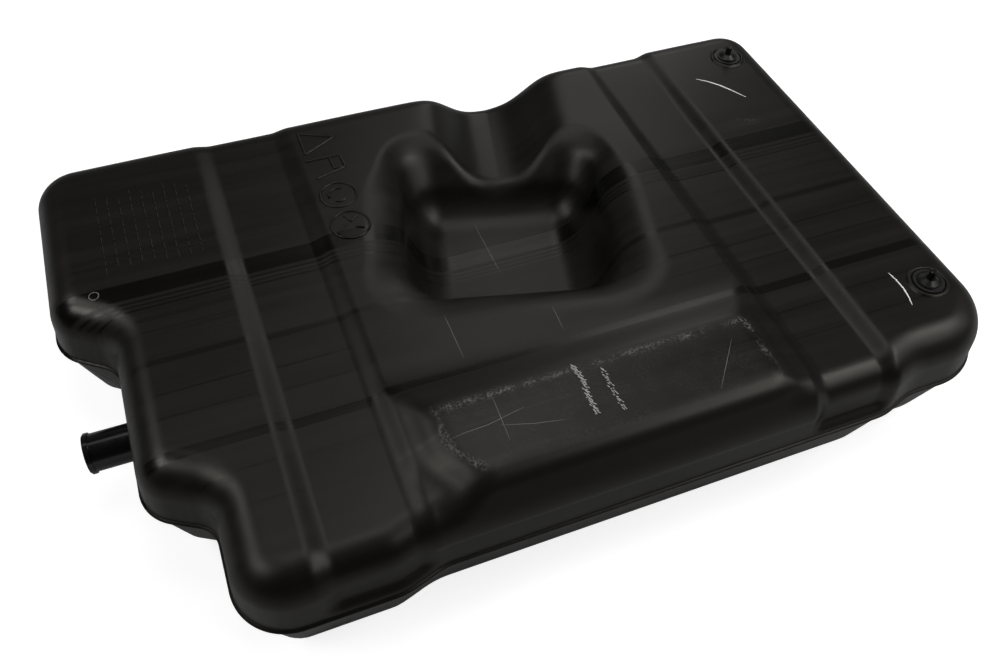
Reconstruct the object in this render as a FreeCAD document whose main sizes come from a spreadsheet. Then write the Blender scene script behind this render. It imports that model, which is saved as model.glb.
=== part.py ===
"""Blow-moulded car fuel tank, 960 mm long, lying with its underside up.

Millimetres, +Z up. The origin is at the bottom centre of the tank's box: X runs along the
tank, the filler spigot points to -X, and the face with the strap channels looks to +Z.
The fuel delivery unit hangs in the opening of the lower face and reaches up to the inside
of the upper face, which is the bottom of the tank on the car.
"""
import FreeCAD
import Part
import math
import os
import re

V = FreeCAD.Vector
doc = FreeCAD.newDocument("fuel_tank")

SIZES = [
    # the tank as a whole
    ("body_length", 954), ("body_width", 617), ("deck_height", 170), ("seam_height", 102),
    ("wall", 5), ("seam_lip", 3), ("seam_thickness", 3.5),
    ("upper_draft", 7), ("lower_draft", 30), ("rim_radius", 34), ("base_radius", 28),
    # steps in the outline
    ("front_step", 13), ("front_step_from_left", 285), ("front_step_run", 42),
    ("side_step", 13), ("side_step_from_right", 140), ("side_step_run", 40), ("step_radius", 70),
    ("notch_depth", 57), ("notch_from_back", 258.5), ("notch_run", 41),
    ("foot_depth", 61), ("foot_from_front", 138.5), ("foot_run", 35),
    ("front_left_radius", 55), ("front_right_radius", 78), ("back_right_radius", 48),
    ("back_left_radius", 52), ("notch_outer_radius", 48), ("notch_inner_radius", 36),
    ("foot_outer_radius", 46), ("foot_inner_radius", 30),
    # strap channels over the upper face
    ("channel_depth", 9), ("channel_slope", 14), ("channel_end", 10),
    ("left_channel_from_left", 245.5), ("left_channel_floor", 77),
    ("right_channel_from_right", 203.5), ("right_channel_floor", 67),
    # pocket and valley, turned together about an upright axis
    ("pocket_x", 17), ("pocket_y", 37.5), ("pocket_turn", -14),
    ("pocket_left", 130), ("pocket_right", 142), ("pocket_front", 112), ("pocket_back", 165),
    ("pocket_depth", 85), ("pocket_corner", 55), ("pocket_corner_floor", 28),
    ("shoulder_depth", 14), ("shoulder_inset", 14), ("shoulder_back", 19),
    ("ledge_inset", 26), ("ledge_back", 48), ("floor_inset", 42), ("floor_back", 62),
    ("pocket_floor_radius", 14),
    ("valley_shift", 10), ("valley_depth", 46), ("valley_floor", 44), ("valley_flank", 140),
    ("valley_flank_depth", 8), ("valley_mouth", 190), ("valley_start", 96), ("valley_end", 330),
    # raised pad along the front
    ("pad_rise", 18), ("pad_left", -146), ("pad_right", 190), ("pad_back_from_front", 126.5),
    ("pad_from_front", 32.5), ("pad_corner_x", -112), ("pad_corner_from_front", 83.5),
    ("pad_run_side", 30), ("pad_run_back", 48), ("pad_run_front", 8), ("pad_root", 20),
    ("pad_radius", 7),
    # moulded marks
    ("mark_rise", 1.2), ("mark_line", 2.2), ("mark_from_left", 329), ("mark_size", 44),
    ("triangle_from_back", 65), ("hook_from_back", 115), ("hook_width", 34),
    ("back_ring_from_back", 164), ("front_ring_from_back", 215),
    # filler spigot on the left wall and its check flap
    ("spigot_from_front", 264), ("spigot_z", 77), ("spigot_radius", 20), ("spigot_bore", 17),
    ("spigot_tip", 49), ("spigot_inside", 25), ("bead_rise", 1.6), ("bead_width", 4),
    ("weld_radius", 29), ("weld_thickness", 5), ("boss_radius", 32), ("boss_face", 5),
    ("weld_clearance", 0.5), ("flap_thickness", 2), ("flap_gap", 0.3), ("hinge_offset", 24),
    ("pin_radius", 1.5), ("knuckle_radius", 3), ("ear_width", 3), ("ear_length", 8),
    ("hinge_width", 18), ("knuckle_width", 8), ("hinge_clearance", 0.05),
    ("side_clearance", 0.4), ("spring_wire", 0.5),
    # shield studs on the right end
    ("stud_from_right", 60), ("back_stud_in", 73), ("front_stud_in", 111), ("stud_radius", 3.9),
    ("stud_height", 18), ("stud_head_radius", 15), ("stud_head_thickness", 2),
    ("stud_recess_radius", 18), ("stud_recess_depth", 1.5), ("stud_ring_radius", 21.5),
    ("stud_ring_rise", 2), ("washer_radius", 17), ("washer_thickness", 1.6),
    ("push_nut_radius", 13), ("push_nut_height", 5), ("push_nut_rim", 1.4),
    ("stud_clearance", 0.1), ("collar_radius", 4.4), ("collar_rise", 0.5),
    # opening for the fuel delivery unit
    ("unit_from_left", 129), ("unit_from_back", 151), ("dish_radius", 98), ("dish_depth", 38),
    ("dish_flare", 12), ("opening_radius", 56), ("neck_radius", 64), ("neck_height", 10),
    ("seal_radius", 62), ("seal_thickness", 3), ("flange_radius", 62), ("flange_thickness", 4),
    ("skirt_radius", 54), ("skirt_length", 16), ("skirt_wall", 2),
    ("ring_inner_radius", 50), ("ring_thickness", 2), ("ring_skirt", 15),
    ("ring_clearance", 0.5), ("lug_length", 14), ("lug_width", 5), ("lug_height", 5),
    # what the flange carries outside
    ("socket_x", 22), ("socket_length", 26), ("socket_width", 30), ("socket_height", 15),
    ("socket_wall", 2), ("contact_pitch", 6), ("contact_size", 1.2),
    ("contact_length", 11),
    ("nipple_radius", 4), ("nipple_bore", 2.5), ("nipple_length", 32), ("nipple_stub", 11),
    ("nipple_barb", 0.8), ("stub_wall", 1),
    # reservoir cup on its sprung guide rods
    ("cup_radius", 53), ("cup_wall", 2.5), ("cup_gap", 0.3),
    ("rod_radius", 4), ("rod_spread", 36), ("rod_shift", 20), ("rod_length", 86),
    ("sleeve_radius", 7.5), ("sleeve_length", 56), ("rod_clearance", 0.05),
    ("spring_length", 29.7), ("spring_radius", 6.2), ("rod_spring_wire", 1.1),
    ("rod_spring_turns", 7),
    ("shelf_height", 38), ("shelf_thickness", 4), ("drain_radius", 7),
    ("pump_shift", 16), ("pump_radius", 19),
    ("pump_floor_gap", 12), ("pump_neck_radius", 12), ("pump_neck", 6),
    ("isolator_wall", 3), ("isolator_length", 30),
    ("outlet_radius", 4), ("outlet_length", 12),
    ("strainer_length", 62), ("strainer_width", 34),
    ("hose_wall", 1.5), ("hose_rib", 1.5), ("hose_grip", 8), ("hose_length", 37.1),
    ("hose_lift", 2.1),
    # level sender on the side of the cup
    ("sender_x", 18), ("sender_width", 22), ("sender_depth", 9), ("sender_height", 34),
    ("sender_lift", 49.3), ("pivot_reach", 4.5), ("pivot_radius", 2.5), ("arm_radius", 1.5),
    ("arm_length", 112), ("arm_angle", 41), ("hub_radius", 5),
    ("hub_thickness", 4), ("float_radius", 17), ("float_length", 46), ("axle_end", 4),
    # roll-over vent valves
    ("left_valve_from_left", 357), ("left_valve_from_front", 130),
    ("right_valve_from_right", 120), ("right_valve_from_back", 178.5),
    ("valve_dish_radius", 58), ("valve_dish_depth", 18),
    ("valve_dish_flare", 6), ("valve_radius", 18), ("valve_length", 46), ("valve_wall", 2),
    ("valve_flange_radius", 27), ("valve_flange_thickness", 4), ("valve_clearance", 0.5),
    ("valve_slot_width", 6), ("valve_slot_height", 18), ("vent_radius", 3.5),
    ("vent_bore", 2), ("vent_length", 30), ("vent_root", 8), ("vent_lift", 2.5),
    ("vent_float_radius", 14.5),
    ("vent_float_height", 22), ("vent_float_gap", 0.3),
]

sheet = doc.addObject("Spreadsheet::Sheet", "sizes")
for row, (alias, value) in enumerate(SIZES, start=1):
    sheet.set("A%d" % row, alias)
    sheet.set("B%d" % row, str(value))
    sheet.setAlias("B%d" % row, alias)
doc.recompute()


def size(alias):
    """A driving dimension, read back from the sheet."""
    return float(sheet.get(alias))


def bound(text):
    """An expression over the sheet: every alias in it gets the sheet's name in front."""
    def named(found):
        word = found.group()
        return "sizes." + word if word in ALIASES else word
    return re.sub("[a-z][a-z_]*", named, text)


ALIASES = {alias for alias, value in SIZES}


# Places measured in from the four sides of the tank

def from_left(alias):
    return size(alias) - size("body_length") / 2


def from_right(alias):
    return size("body_length") / 2 - size(alias)


def from_front(alias):
    return size(alias) - size("body_width") / 2


def from_back(alias):
    return size("body_width") / 2 - size(alias)


# Outline of the tank

def outline_corners():
    """Corners of the outline at the seam with their radii, counterclockwise from the front left."""
    right = size("body_length") / 2
    back = size("body_width") / 2
    front_left = -back
    front_middle = front_left + size("front_step")
    front_right = front_middle + size("side_step")
    notch = -right + size("notch_depth")
    foot = notch + size("foot_depth")
    step = from_left("front_step_from_left")
    half_step = size("front_step_run") / 2
    side = from_right("side_step_from_right")
    half_side = size("side_step_run") / 2
    soft = size("step_radius")
    notch_y = from_back("notch_from_back")
    half_notch = size("notch_run") / 2
    foot_y = from_front("foot_from_front")
    half_foot = size("foot_run") / 2
    return [
        (foot, front_left, size("front_left_radius")),
        (step - half_step, front_left, soft),
        (step + half_step, front_middle, soft),
        (side - half_side, front_middle, soft),
        (side + half_side, front_right, soft),
        (right, front_right, size("front_right_radius")),
        (right, back, size("back_right_radius")),
        (-right, back, size("back_left_radius")),
        (-right, notch_y + half_notch, size("notch_outer_radius")),
        (notch, notch_y - half_notch, size("notch_inner_radius")),
        (notch, foot_y + half_foot, size("foot_outer_radius")),
        (foot, foot_y - half_foot, size("foot_inner_radius")),
    ]


def moved_inward(corners, inset):
    """The same corners with every side moved inward and every radius to suit."""
    count = len(corners)
    sides = []
    for index in range(count):
        x, y, radius = corners[index]
        next_x, next_y, next_radius = corners[(index + 1) % count]
        length = math.hypot(next_x - x, next_y - y)
        along = ((next_x - x) / length, (next_y - y) / length)
        start = (x - along[1] * inset, y + along[0] * inset)
        sides.append((start, along))
    moved = []
    for index in range(count):
        (first, along), (second, onward) = sides[index - 1], sides[index]
        turn = along[0] * onward[1] - along[1] * onward[0]
        gap_x = second[0] - first[0]
        gap_y = second[1] - first[1]
        reach = (gap_x * onward[1] - gap_y * onward[0]) / turn
        radius = corners[index][2] + (inset if turn < 0 else -inset)
        moved.append((first[0] + along[0] * reach, first[1] + along[1] * reach, radius))
    return moved


def rounded_wire(corners, z):
    """A closed wire at one height: straight sides joined by tangent arcs."""
    count = len(corners)
    bends = []
    for index in range(count):
        x, y, radius = corners[index]
        before = corners[index - 1]
        after = corners[(index + 1) % count]
        corner = V(x, y, z)
        back = (V(before[0], before[1], z) - corner).normalize()
        onward = (V(after[0], after[1], z) - corner).normalize()
        half = back.getAngle(onward) / 2
        reach = radius / math.tan(half)
        middle = corner + (back + onward).normalize() * (radius / math.sin(half) - radius)
        bends.append((corner + back * reach, middle, corner + onward * reach))
    edges = []
    for index in range(count):
        start, middle, end = bends[index]
        edges.append(Part.Arc(start, middle, end).toShape())
        edges.append(Part.LineSegment(end, bends[(index + 1) % count][0]).toShape())
    return Part.Wire(edges)


def edges_at(solid, z):
    """The edges of a solid that lie wholly at one height."""
    return [edge for edge in solid.Edges
            if all(abs(corner.Z - z) < 1e-3 for corner in edge.Vertexes)
            and abs(edge.CenterOfMass.z - z) < 1e-3]


def plain_body(inset):
    """Both drafted halves of the tank with their rounded rims, smaller by the inset all round."""
    corners = outline_corners()
    deck = size("deck_height") - inset
    seam = size("seam_height")
    upper = Part.makeLoft([
        rounded_wire(moved_inward(corners, inset), seam),
        rounded_wire(moved_inward(corners, inset + size("upper_draft")), deck)], True, True)
    upper = upper.makeFillet(size("rim_radius") - inset, edges_at(upper, deck))
    lower = Part.makeLoft([
        rounded_wire(moved_inward(corners, inset + size("lower_draft")), inset),
        rounded_wire(moved_inward(corners, inset), seam)], True, True)
    lower = lower.makeFillet(size("base_radius") - inset, edges_at(lower, inset))
    return upper.fuse(lower)


# Forms pressed into the upper face; each takes the inset, so that the wall follows them

def prism_along_y(points, start, length):
    """A prism along +Y from points in the XZ plane."""
    wire = Part.makePolygon([V(x, start, z) for x, z in points + points[:1]])
    return Part.Face(wire).extrude(V(0, length, 0))


def strap_channel(centre, floor, inset):
    """One shallow channel across the upper face that runs on down the front and back walls."""
    depth = size("channel_depth")
    slope = size("channel_slope")
    deck = size("deck_height") - inset
    half = floor / 2 + inset
    foot = size("seam_height") + size("channel_end") - inset
    above = 2
    points = [
        (centre - half, foot), (centre + half, foot), (centre + half, deck - depth),
        (centre + half + slope * above, deck + depth * (above - 1)),
        (centre - half - slope * above, deck + depth * (above - 1)),
        (centre - half, deck - depth)]
    width = size("body_width")
    slab = prism_along_y(points, -width, 2 * width)
    return slab.cut(plain_body(depth + inset))


def pocket_placement():
    """Where the pocket and the valley stand: a turn about +Z through the pocket's centre."""
    turn = FreeCAD.Rotation(V(0, 0, 1), size("pocket_turn"))
    return FreeCAD.Placement(V(size("pocket_x"), size("pocket_y"), 0), turn)


def pocket(inset):
    """The deep pocket: four rounded rectangles, each deeper and smaller, joined by flat flanks."""
    deck = size("deck_height")
    rows = [
        (0, 0, 0),
        (size("shoulder_depth"), size("shoulder_inset"), size("shoulder_back")),
        (size("valley_depth"), size("ledge_inset"), size("ledge_back")),
        (size("pocket_depth"), size("floor_inset"), size("floor_back"))]
    rim_corner = size("pocket_corner") + inset
    floor_corner = size("pocket_corner_floor") + inset
    sections = []
    for depth, side, behind in rows:
        share = depth / size("pocket_depth")
        radius = rim_corner + (floor_corner - rim_corner) * share
        left = -size("pocket_left") + side - inset
        right = size("pocket_right") - side + inset
        front = -size("pocket_front") + side - inset
        back = size("pocket_back") - behind + inset
        corners = [(left, front, radius), (right, front, radius),
                   (right, back, radius), (left, back, radius)]
        sections.append(rounded_wire(corners, deck - depth - inset))
    lid_corners = [(-size("pocket_left") - inset, -size("pocket_front") - inset, rim_corner),
                   (size("pocket_right") + inset, -size("pocket_front") - inset, rim_corner),
                   (size("pocket_right") + inset, size("pocket_back") + inset, rim_corner),
                   (-size("pocket_left") - inset, size("pocket_back") + inset, rim_corner)]
    lid = rounded_wire(lid_corners, deck + size("pad_rise"))
    solid = Part.makeLoft([lid] + sections, True, True)
    floor = deck - size("pocket_depth") - inset
    solid = solid.makeFillet(size("pocket_floor_radius") + inset, edges_at(solid, floor))
    solid.Placement = pocket_placement()
    return solid


def valley(inset):
    """The trough from the pocket out over the back rim, whose rounding it keeps lower down."""
    deck = size("deck_height") - inset
    floor = size("valley_floor") / 2 + inset
    flank = size("valley_flank") / 2 + inset
    mouth = size("valley_mouth") / 2 + inset
    foot = size("seam_height") + size("channel_end") - inset
    top = deck + inset + size("pad_rise")
    shift = size("valley_shift")
    points = [
        (shift - floor, foot), (shift + floor, foot), (shift + floor, deck - size("valley_depth")),
        (shift + flank, deck - size("valley_flank_depth")), (shift + mouth, deck),
        (shift + mouth, top), (shift - mouth, top), (shift - mouth, deck),
        (shift - flank, deck - size("valley_flank_depth")),
        (shift - floor, deck - size("valley_depth"))]
    start = size("valley_start") - inset
    solid = prism_along_y(points, start, size("valley_end") - start)
    solid.Placement = pocket_placement()
    kept = plain_body(inset)
    kept.translate(V(0, 0, -size("valley_depth")))
    return solid.cut(kept)


def pad(inset):
    """The raised pad along the front, with one corner cut off and its edges rounded."""
    deck = size("deck_height") - inset
    slope = (size("pad_rise") + size("pad_root")) / size("pad_rise")
    side = size("pad_run_side") * slope
    behind = size("pad_run_back") * slope
    ahead = size("pad_run_front") * slope
    left = size("pad_left") + inset
    right = size("pad_right") - inset
    back = from_front("pad_back_from_front") - inset
    front = from_front("pad_from_front") + inset
    corner_x = size("pad_corner_x") + inset
    corner_y = from_front("pad_corner_from_front") + inset
    top = [(left, corner_y), (corner_x, front), (right, front), (right, back), (left, back)]
    root = [(left - side, corner_y), (corner_x, front - ahead), (right + side, front - ahead),
            (right + side, back + behind), (left - side, back + behind)]
    wires = []
    for points, z in ((root, deck - size("pad_root")), (top, deck + size("pad_rise"))):
        wires.append(Part.makePolygon([V(x, y, z) for x, y in points + points[:1]]))
    solid = Part.makeLoft(wires, True, True)
    return solid.makeFillet(size("pad_radius"), edges_at(solid, deck + size("pad_rise")))


def dish(x, y, radius, depth, flare, inset):
    """A round recess in the lower face, wider at its mouth."""
    solid = Part.makeCone(radius + inset, radius - flare + inset, depth + inset)
    solid.translate(V(x, y, 0))
    return solid


def unit_place():
    return from_left("unit_from_left"), from_back("unit_from_back")


def valve_places():
    left = (from_left("left_valve_from_left"), from_front("left_valve_from_front"))
    right = (from_right("right_valve_from_right"), from_back("right_valve_from_back"))
    return left, right


def lower_dishes(inset):
    """The recess around the delivery unit and those around the two vent valves."""
    pieces = [dish(*unit_place(), size("dish_radius"), size("dish_depth"), size("dish_flare"),
                   inset)]
    for place in valve_places():
        pieces.append(dish(*place, size("valve_dish_radius"), size("valve_dish_depth"),
                           size("valve_dish_flare"), inset))
    return pieces


def tank_form(inset):
    """The tank with everything pressed into it, smaller by the inset all round."""
    form = plain_body(inset).fuse(pad(inset))
    form = form.cut(strap_channel(from_left("left_channel_from_left"),
                                 size("left_channel_floor"), inset))
    form = form.cut(strap_channel(from_right("right_channel_from_right"),
                                 size("right_channel_floor"), inset))
    form = form.cut(pocket(inset))
    form = form.cut(valley(inset))
    for piece in lower_dishes(inset):
        form = form.cut(piece)
    return form


def upright_cylinder(x, y, radius, bottom, top):
    return Part.makeCylinder(radius, top - bottom, V(x, y, bottom))


def bar(start, end, width, bottom, height):
    """A low straight bar between two points, with square ends."""
    along = V(end[0] - start[0], end[1] - start[1], 0)
    length = along.Length + width
    solid = Part.makeBox(length, width, height, V(-width / 2, -width / 2, bottom))
    turn = FreeCAD.Rotation(V(1, 0, 0), along)
    solid.Placement = FreeCAD.Placement(V(start[0], start[1], 0), turn)
    return solid


def moulded_marks():
    """Plain raised marks: a triangle, an open hook and two rings."""
    deck = size("deck_height")
    sunk = size("wall") / 2
    bottom = deck - sunk
    height = sunk + size("mark_rise")
    line = size("mark_line")
    half = (size("mark_size") - line) / 2
    x = from_left("mark_from_left")
    triangle_y = from_back("triangle_from_back")
    tips = [(x - half, triangle_y - half), (x - half, triangle_y + half), (x + half, triangle_y)]
    marks = [bar(tips[i], tips[(i + 1) % 3], line, bottom, height) for i in range(3)]
    hook_y = from_back("hook_from_back")
    reach = (size("hook_width") - line) / 2
    ends = [(x - half, hook_y + reach), (x + half, hook_y + reach),
            (x + half, hook_y - reach), (x - half, hook_y - reach)]
    marks += [bar(ends[i], ends[i + 1], line, bottom, height) for i in range(3)]
    for ring_y in (from_back("back_ring_from_back"), from_back("front_ring_from_back")):
        outer = upright_cylinder(x, ring_y, half + line / 2, bottom, bottom + height)
        inner = upright_cylinder(x, ring_y, half - line / 2, bottom, bottom + height)
        marks.append(outer.cut(inner))
    return marks


def spigot_wall_x():
    """Where the outer face of the spigot's boss stands."""
    notch = -size("body_length") / 2 + size("notch_depth")
    return notch + size("boss_face")


def cylinder_along_x(x_start, x_end, y, z, radius):
    return Part.makeCylinder(radius, x_end - x_start, V(x_start, y, z), V(1, 0, 0))


def seam_ring():
    """The narrow lip round the tank where the two halves of its mould met."""
    corners = outline_corners()
    bottom = size("seam_height") - size("seam_thickness") / 2
    rise = V(0, 0, size("seam_thickness"))
    edge = Part.Face(rounded_wire(moved_inward(corners, -size("seam_lip")), bottom))
    inside = Part.Face(rounded_wire(moved_inward(corners, size("wall") / 2), bottom))
    return edge.extrude(rise).cut(inside.extrude(rise))


def tank_shell():
    """The blow-moulded shell: one hollow solid with its seam, neck, boss and openings."""
    wall = size("wall")
    deck = size("deck_height")
    outer = tank_form(0)
    cavity = tank_form(wall)
    outer = outer.fuse(seam_ring())
    boss = cylinder_along_x(spigot_wall_x(), spigot_wall_x() + 2 * wall + size("lower_draft"),
                            from_front("spigot_from_front"), size("spigot_z"), size("boss_radius"))
    outer = outer.fuse(boss)
    flat = cylinder_along_x(spigot_wall_x() - size("notch_depth"), spigot_wall_x(),
                            from_front("spigot_from_front"), size("spigot_z"),
                            size("weld_radius") + size("weld_clearance"))
    outer = outer.cut(flat)
    for mark in moulded_marks():
        outer = outer.fuse(mark)
    stud_x = from_right("stud_from_right")
    for stud_y in (from_back("back_stud_in"), from_front("front_stud_in")):
        ring = upright_cylinder(stud_x, stud_y, size("stud_ring_radius"),
                                deck - wall / 2, deck + size("stud_ring_rise"))
        outer = outer.fuse(ring)
        recess = upright_cylinder(stud_x, stud_y, size("stud_recess_radius"),
                                  deck - size("stud_recess_depth"), deck + size("pad_rise"))
        outer = outer.cut(recess)
    shell = outer.cut(cavity)
    neck_bottom = size("dish_depth") - size("neck_height")
    neck = upright_cylinder(*unit_place(), size("neck_radius"),
                            neck_bottom, size("dish_depth") + wall / 2)
    shell = shell.fuse(neck)
    opening = upright_cylinder(*unit_place(), size("opening_radius"),
                               neck_bottom, size("dish_depth") + 2 * wall)
    shell = shell.cut(opening)
    for place in valve_places():
        hole = upright_cylinder(*place, size("valve_radius") + size("valve_clearance"),
                                0, size("valve_dish_depth") + 2 * wall)
        shell = shell.cut(hole)
    bore = cylinder_along_x(spigot_wall_x() - wall, spigot_wall_x() + 3 * wall + size("lower_draft"),
                            from_front("spigot_from_front"), size("spigot_z"),
                            size("spigot_radius") + size("weld_clearance"))
    shell = shell.cut(bore)
    return shell.removeSplitter()


shell = doc.addObject("Part::Feature", "tank_shell")
shell.Shape = tank_shell()


# Primitives and booleans bound to the sheet

UPRIGHT = FreeCAD.Rotation()
ALONG_X = FreeCAD.Rotation(V(0, 1, 0), 90)
ALONG_Y = FreeCAD.Rotation(V(1, 0, 0), -90)
DECK_INSIDE = "deck_height - wall"
WELD_X = "notch_depth + boss_face - body_length / 2"
SPIGOT_Y = "(spigot_from_front - body_width / 2)"
STUD_X = "(body_length / 2 - stud_from_right)"
STUD_Y = {"back": "(body_width / 2 - back_stud_in)", "front": "(front_stud_in - body_width / 2)"}
UNIT_X = "(unit_from_left - body_length / 2)"
UNIT_Y = "(body_width / 2 - unit_from_back)"


def bind(item, at, **sizes):
    """Tie an object's sizes and the place of its corner or axis to the sheet."""
    for name, text in sizes.items():
        item.setExpression(name, bound(text))
    for axis, text in zip("xyz", at):
        item.setExpression("Placement.Base." + axis, bound(text))
    return item


def cylinder(name, radius, height, at, turn=UPRIGHT):
    item = doc.addObject("Part::Cylinder", name)
    item.Placement = FreeCAD.Placement(V(), turn)
    return bind(item, at, Radius=radius, Height=height)


def cone(name, foot_radius, top_radius, height, at):
    item = doc.addObject("Part::Cone", name)
    return bind(item, at, Radius1=foot_radius, Radius2=top_radius, Height=height)


def box(name, length, width, height, at):
    item = doc.addObject("Part::Box", name)
    return bind(item, at, Length=length, Width=width, Height=height)


def torus(name, ring_radius, wire_radius, at, turn=UPRIGHT):
    item = doc.addObject("Part::Torus", name)
    item.Placement = FreeCAD.Placement(V(), turn)
    return bind(item, at, Radius1=ring_radius, Radius2=wire_radius)


def fused(name, pieces):
    item = doc.addObject("Part::MultiFuse", name)
    item.Shapes = pieces
    item.Refine = True
    return item


def cut(name, base, tools):
    """The base with every tool taken away."""
    item = doc.addObject("Part::Cut", name)
    item.Base = base
    item.Tool = tools[0] if len(tools) == 1 else fused(name + "_tools", tools)
    item.Refine = True
    return item


def tube(name, radius, bore, height, at, turn=UPRIGHT):
    """A plain tube; the bore runs the same length as the wall."""
    return cut(name, cylinder(name + "_wall", radius, height, at, turn),
               [cylinder(name + "_bore", bore, height, at, turn)])


# Filler spigot with its check flap

def filler_spigot():
    """Beaded pipe with a weld flange outside the wall and two hinge ears inside it."""
    axis = (SPIGOT_Y, "spigot_z")
    flange_x = WELD_X + " - weld_thickness"
    tip_x = flange_x + " - spigot_tip"
    end_x = WELD_X + " + spigot_inside"
    hinge_z = "spigot_z - hinge_offset"
    pipe = cylinder("spigot_pipe", "spigot_radius", "spigot_tip + weld_thickness + spigot_inside",
                    (tip_x,) + axis, ALONG_X)
    weld = cylinder("spigot_weld", "weld_radius", "weld_thickness", (flange_x,) + axis, ALONG_X)
    bead = cylinder("spigot_bead", "spigot_radius + bead_rise", "bead_width",
                    (tip_x + " + bead_rise",) + axis, ALONG_X)
    pieces = [pipe, weld, bead]
    for side, y in (("left", SPIGOT_Y + " - hinge_width / 2 - ear_width"),
                    ("right", SPIGOT_Y + " + hinge_width / 2")):
        pieces.append(box("ear_root_" + side, "ear_length", "ear_width",
                          "hinge_offset - spigot_bore + 2 * knuckle_radius",
                          (end_x + " - ear_length", y, hinge_z + " - knuckle_radius")))
        pieces.append(box("ear_nose_" + side, "3 * knuckle_radius", "ear_width",
                          "2 * knuckle_radius",
                          (end_x + " - knuckle_radius", y, hinge_z + " - knuckle_radius")))
    bore = cylinder("spigot_hole", "spigot_bore", "spigot_tip + weld_thickness + spigot_inside",
                    (tip_x,) + axis, ALONG_X)
    hinge = cylinder("hinge_hole", "pin_radius", "hinge_width + 2 * ear_width",
                     (end_x + " + flap_gap + flap_thickness / 2",
                      SPIGOT_Y + " - hinge_width / 2 - ear_width", hinge_z), ALONG_Y)
    return cut("filler_spigot", fused("spigot_solid", pieces), [bore, hinge])


def inlet_flap():
    """Round flap with a knuckle that turns on the hinge pin."""
    face_x = WELD_X + " + spigot_inside + flap_gap"
    hinge_x = face_x + " + flap_thickness / 2"
    hinge_z = "spigot_z - hinge_offset"
    disc = cylinder("flap_disc", "(spigot_radius + spigot_bore) / 2 + flap_gap",
                    "flap_thickness", (face_x, SPIGOT_Y, "spigot_z"), ALONG_X)
    knuckle = cylinder("flap_knuckle", "knuckle_radius - flap_gap", "knuckle_width",
                       (hinge_x, SPIGOT_Y + " - knuckle_width / 2", hinge_z), ALONG_Y)
    web = box("flap_web", "flap_thickness", "knuckle_width", "hinge_offset - spigot_bore / 2",
              (face_x, SPIGOT_Y + " - knuckle_width / 2", hinge_z))
    bore = cylinder("flap_bore", "pin_radius + hinge_clearance", "knuckle_width",
                    (hinge_x, SPIGOT_Y + " - knuckle_width / 2", hinge_z), ALONG_Y)
    return cut("inlet_flap", fused("flap_solid", [disc, knuckle, web]), [bore])


def flap_pin():
    return cylinder("flap_pin", "pin_radius", "hinge_width + 2 * ear_width",
                    (WELD_X + " + spigot_inside + flap_gap + flap_thickness / 2",
                     SPIGOT_Y + " - hinge_width / 2 - ear_width", "spigot_z - hinge_offset"), ALONG_Y)


def flap_spring():
    """Close-wound torsion spring beside the knuckle, with one leg along the spigot."""
    hinge_x = WELD_X + " + spigot_inside + flap_gap + flap_thickness / 2"
    coils = []
    for turn in range(3):
        y = SPIGOT_Y + " + knuckle_width / 2 + side_clearance + spring_wire * %s" % (1 + 1.7 * turn)
        coils.append(torus("flap_coil_%d" % turn, "pin_radius + spring_wire + hinge_clearance",
                           "spring_wire", (hinge_x, y, "spigot_z - hinge_offset"), ALONG_Y))
    leg = cylinder("flap_spring_leg", "0.8 * spring_wire", "2 * ear_width",
                   (hinge_x + " - 2 * ear_width",
                    SPIGOT_Y + " + knuckle_width / 2 + side_clearance + spring_wire",
                    "spigot_z - hinge_offset - pin_radius - spring_wire - hinge_clearance"),
                   ALONG_X)
    return fused("flap_spring", coils + [leg])


# Studs that hold the heat shield

def shield_stud(place):
    foot = "deck_height - stud_recess_depth"
    y = STUD_Y[place]
    head = cylinder("stud_head_" + place, "stud_head_radius", "stud_head_thickness",
                    (STUD_X, y, foot))
    collar = cylinder("stud_collar_" + place, "collar_radius",
                      "stud_head_thickness + washer_thickness + push_nut_height + collar_rise",
                      (STUD_X, y, foot))
    shank = cylinder("stud_shank_" + place, "stud_radius", "stud_height", (STUD_X, y, foot))
    tip = cone("stud_tip_" + place, "stud_radius", "stud_radius * 0.7", "stud_radius * 0.3",
               (STUD_X, y, foot + " + stud_height"))
    return fused("shield_stud_" + place, [head, collar, shank, tip])


def stud_washer(place):
    return tube("stud_washer_" + place, "washer_radius", "collar_radius + stud_clearance",
                "washer_thickness",
                (STUD_X, STUD_Y[place],
                 "deck_height - stud_recess_depth + stud_head_thickness"))


def push_nut(place):
    """Domed push-on nut: a flat rim and a cone above it."""
    foot = "deck_height - stud_recess_depth + stud_head_thickness + washer_thickness"
    y = STUD_Y[place]
    rim = cylinder("nut_rim_" + place, "push_nut_radius", "push_nut_rim", (STUD_X, y, foot))
    dome = cone("nut_dome_" + place, "push_nut_radius * 0.85", "collar_radius + push_nut_rim",
                "push_nut_height - push_nut_rim", (STUD_X, y, foot + " + push_nut_rim"))
    bore = cylinder("nut_bore_" + place, "collar_radius + stud_clearance", "push_nut_height",
                    (STUD_X, y, foot))
    return cut("push_nut_" + place, fused("nut_solid_" + place, [rim, dome]), [bore])


# Opening for the delivery unit: seal, flange and lock ring

NECK_Z = "dish_depth - neck_height"
FLANGE_TOP = NECK_Z + " - seal_thickness"
FLANGE_Z = FLANGE_TOP + " - flange_thickness"
PUMP_X = UNIT_X
PUMP_Y = UNIT_Y + " - pump_shift"


def pump_seal():
    return tube("pump_seal", "seal_radius", "opening_radius + seal_thickness / 2",
                "seal_thickness", (UNIT_X, UNIT_Y, FLANGE_TOP))


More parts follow.
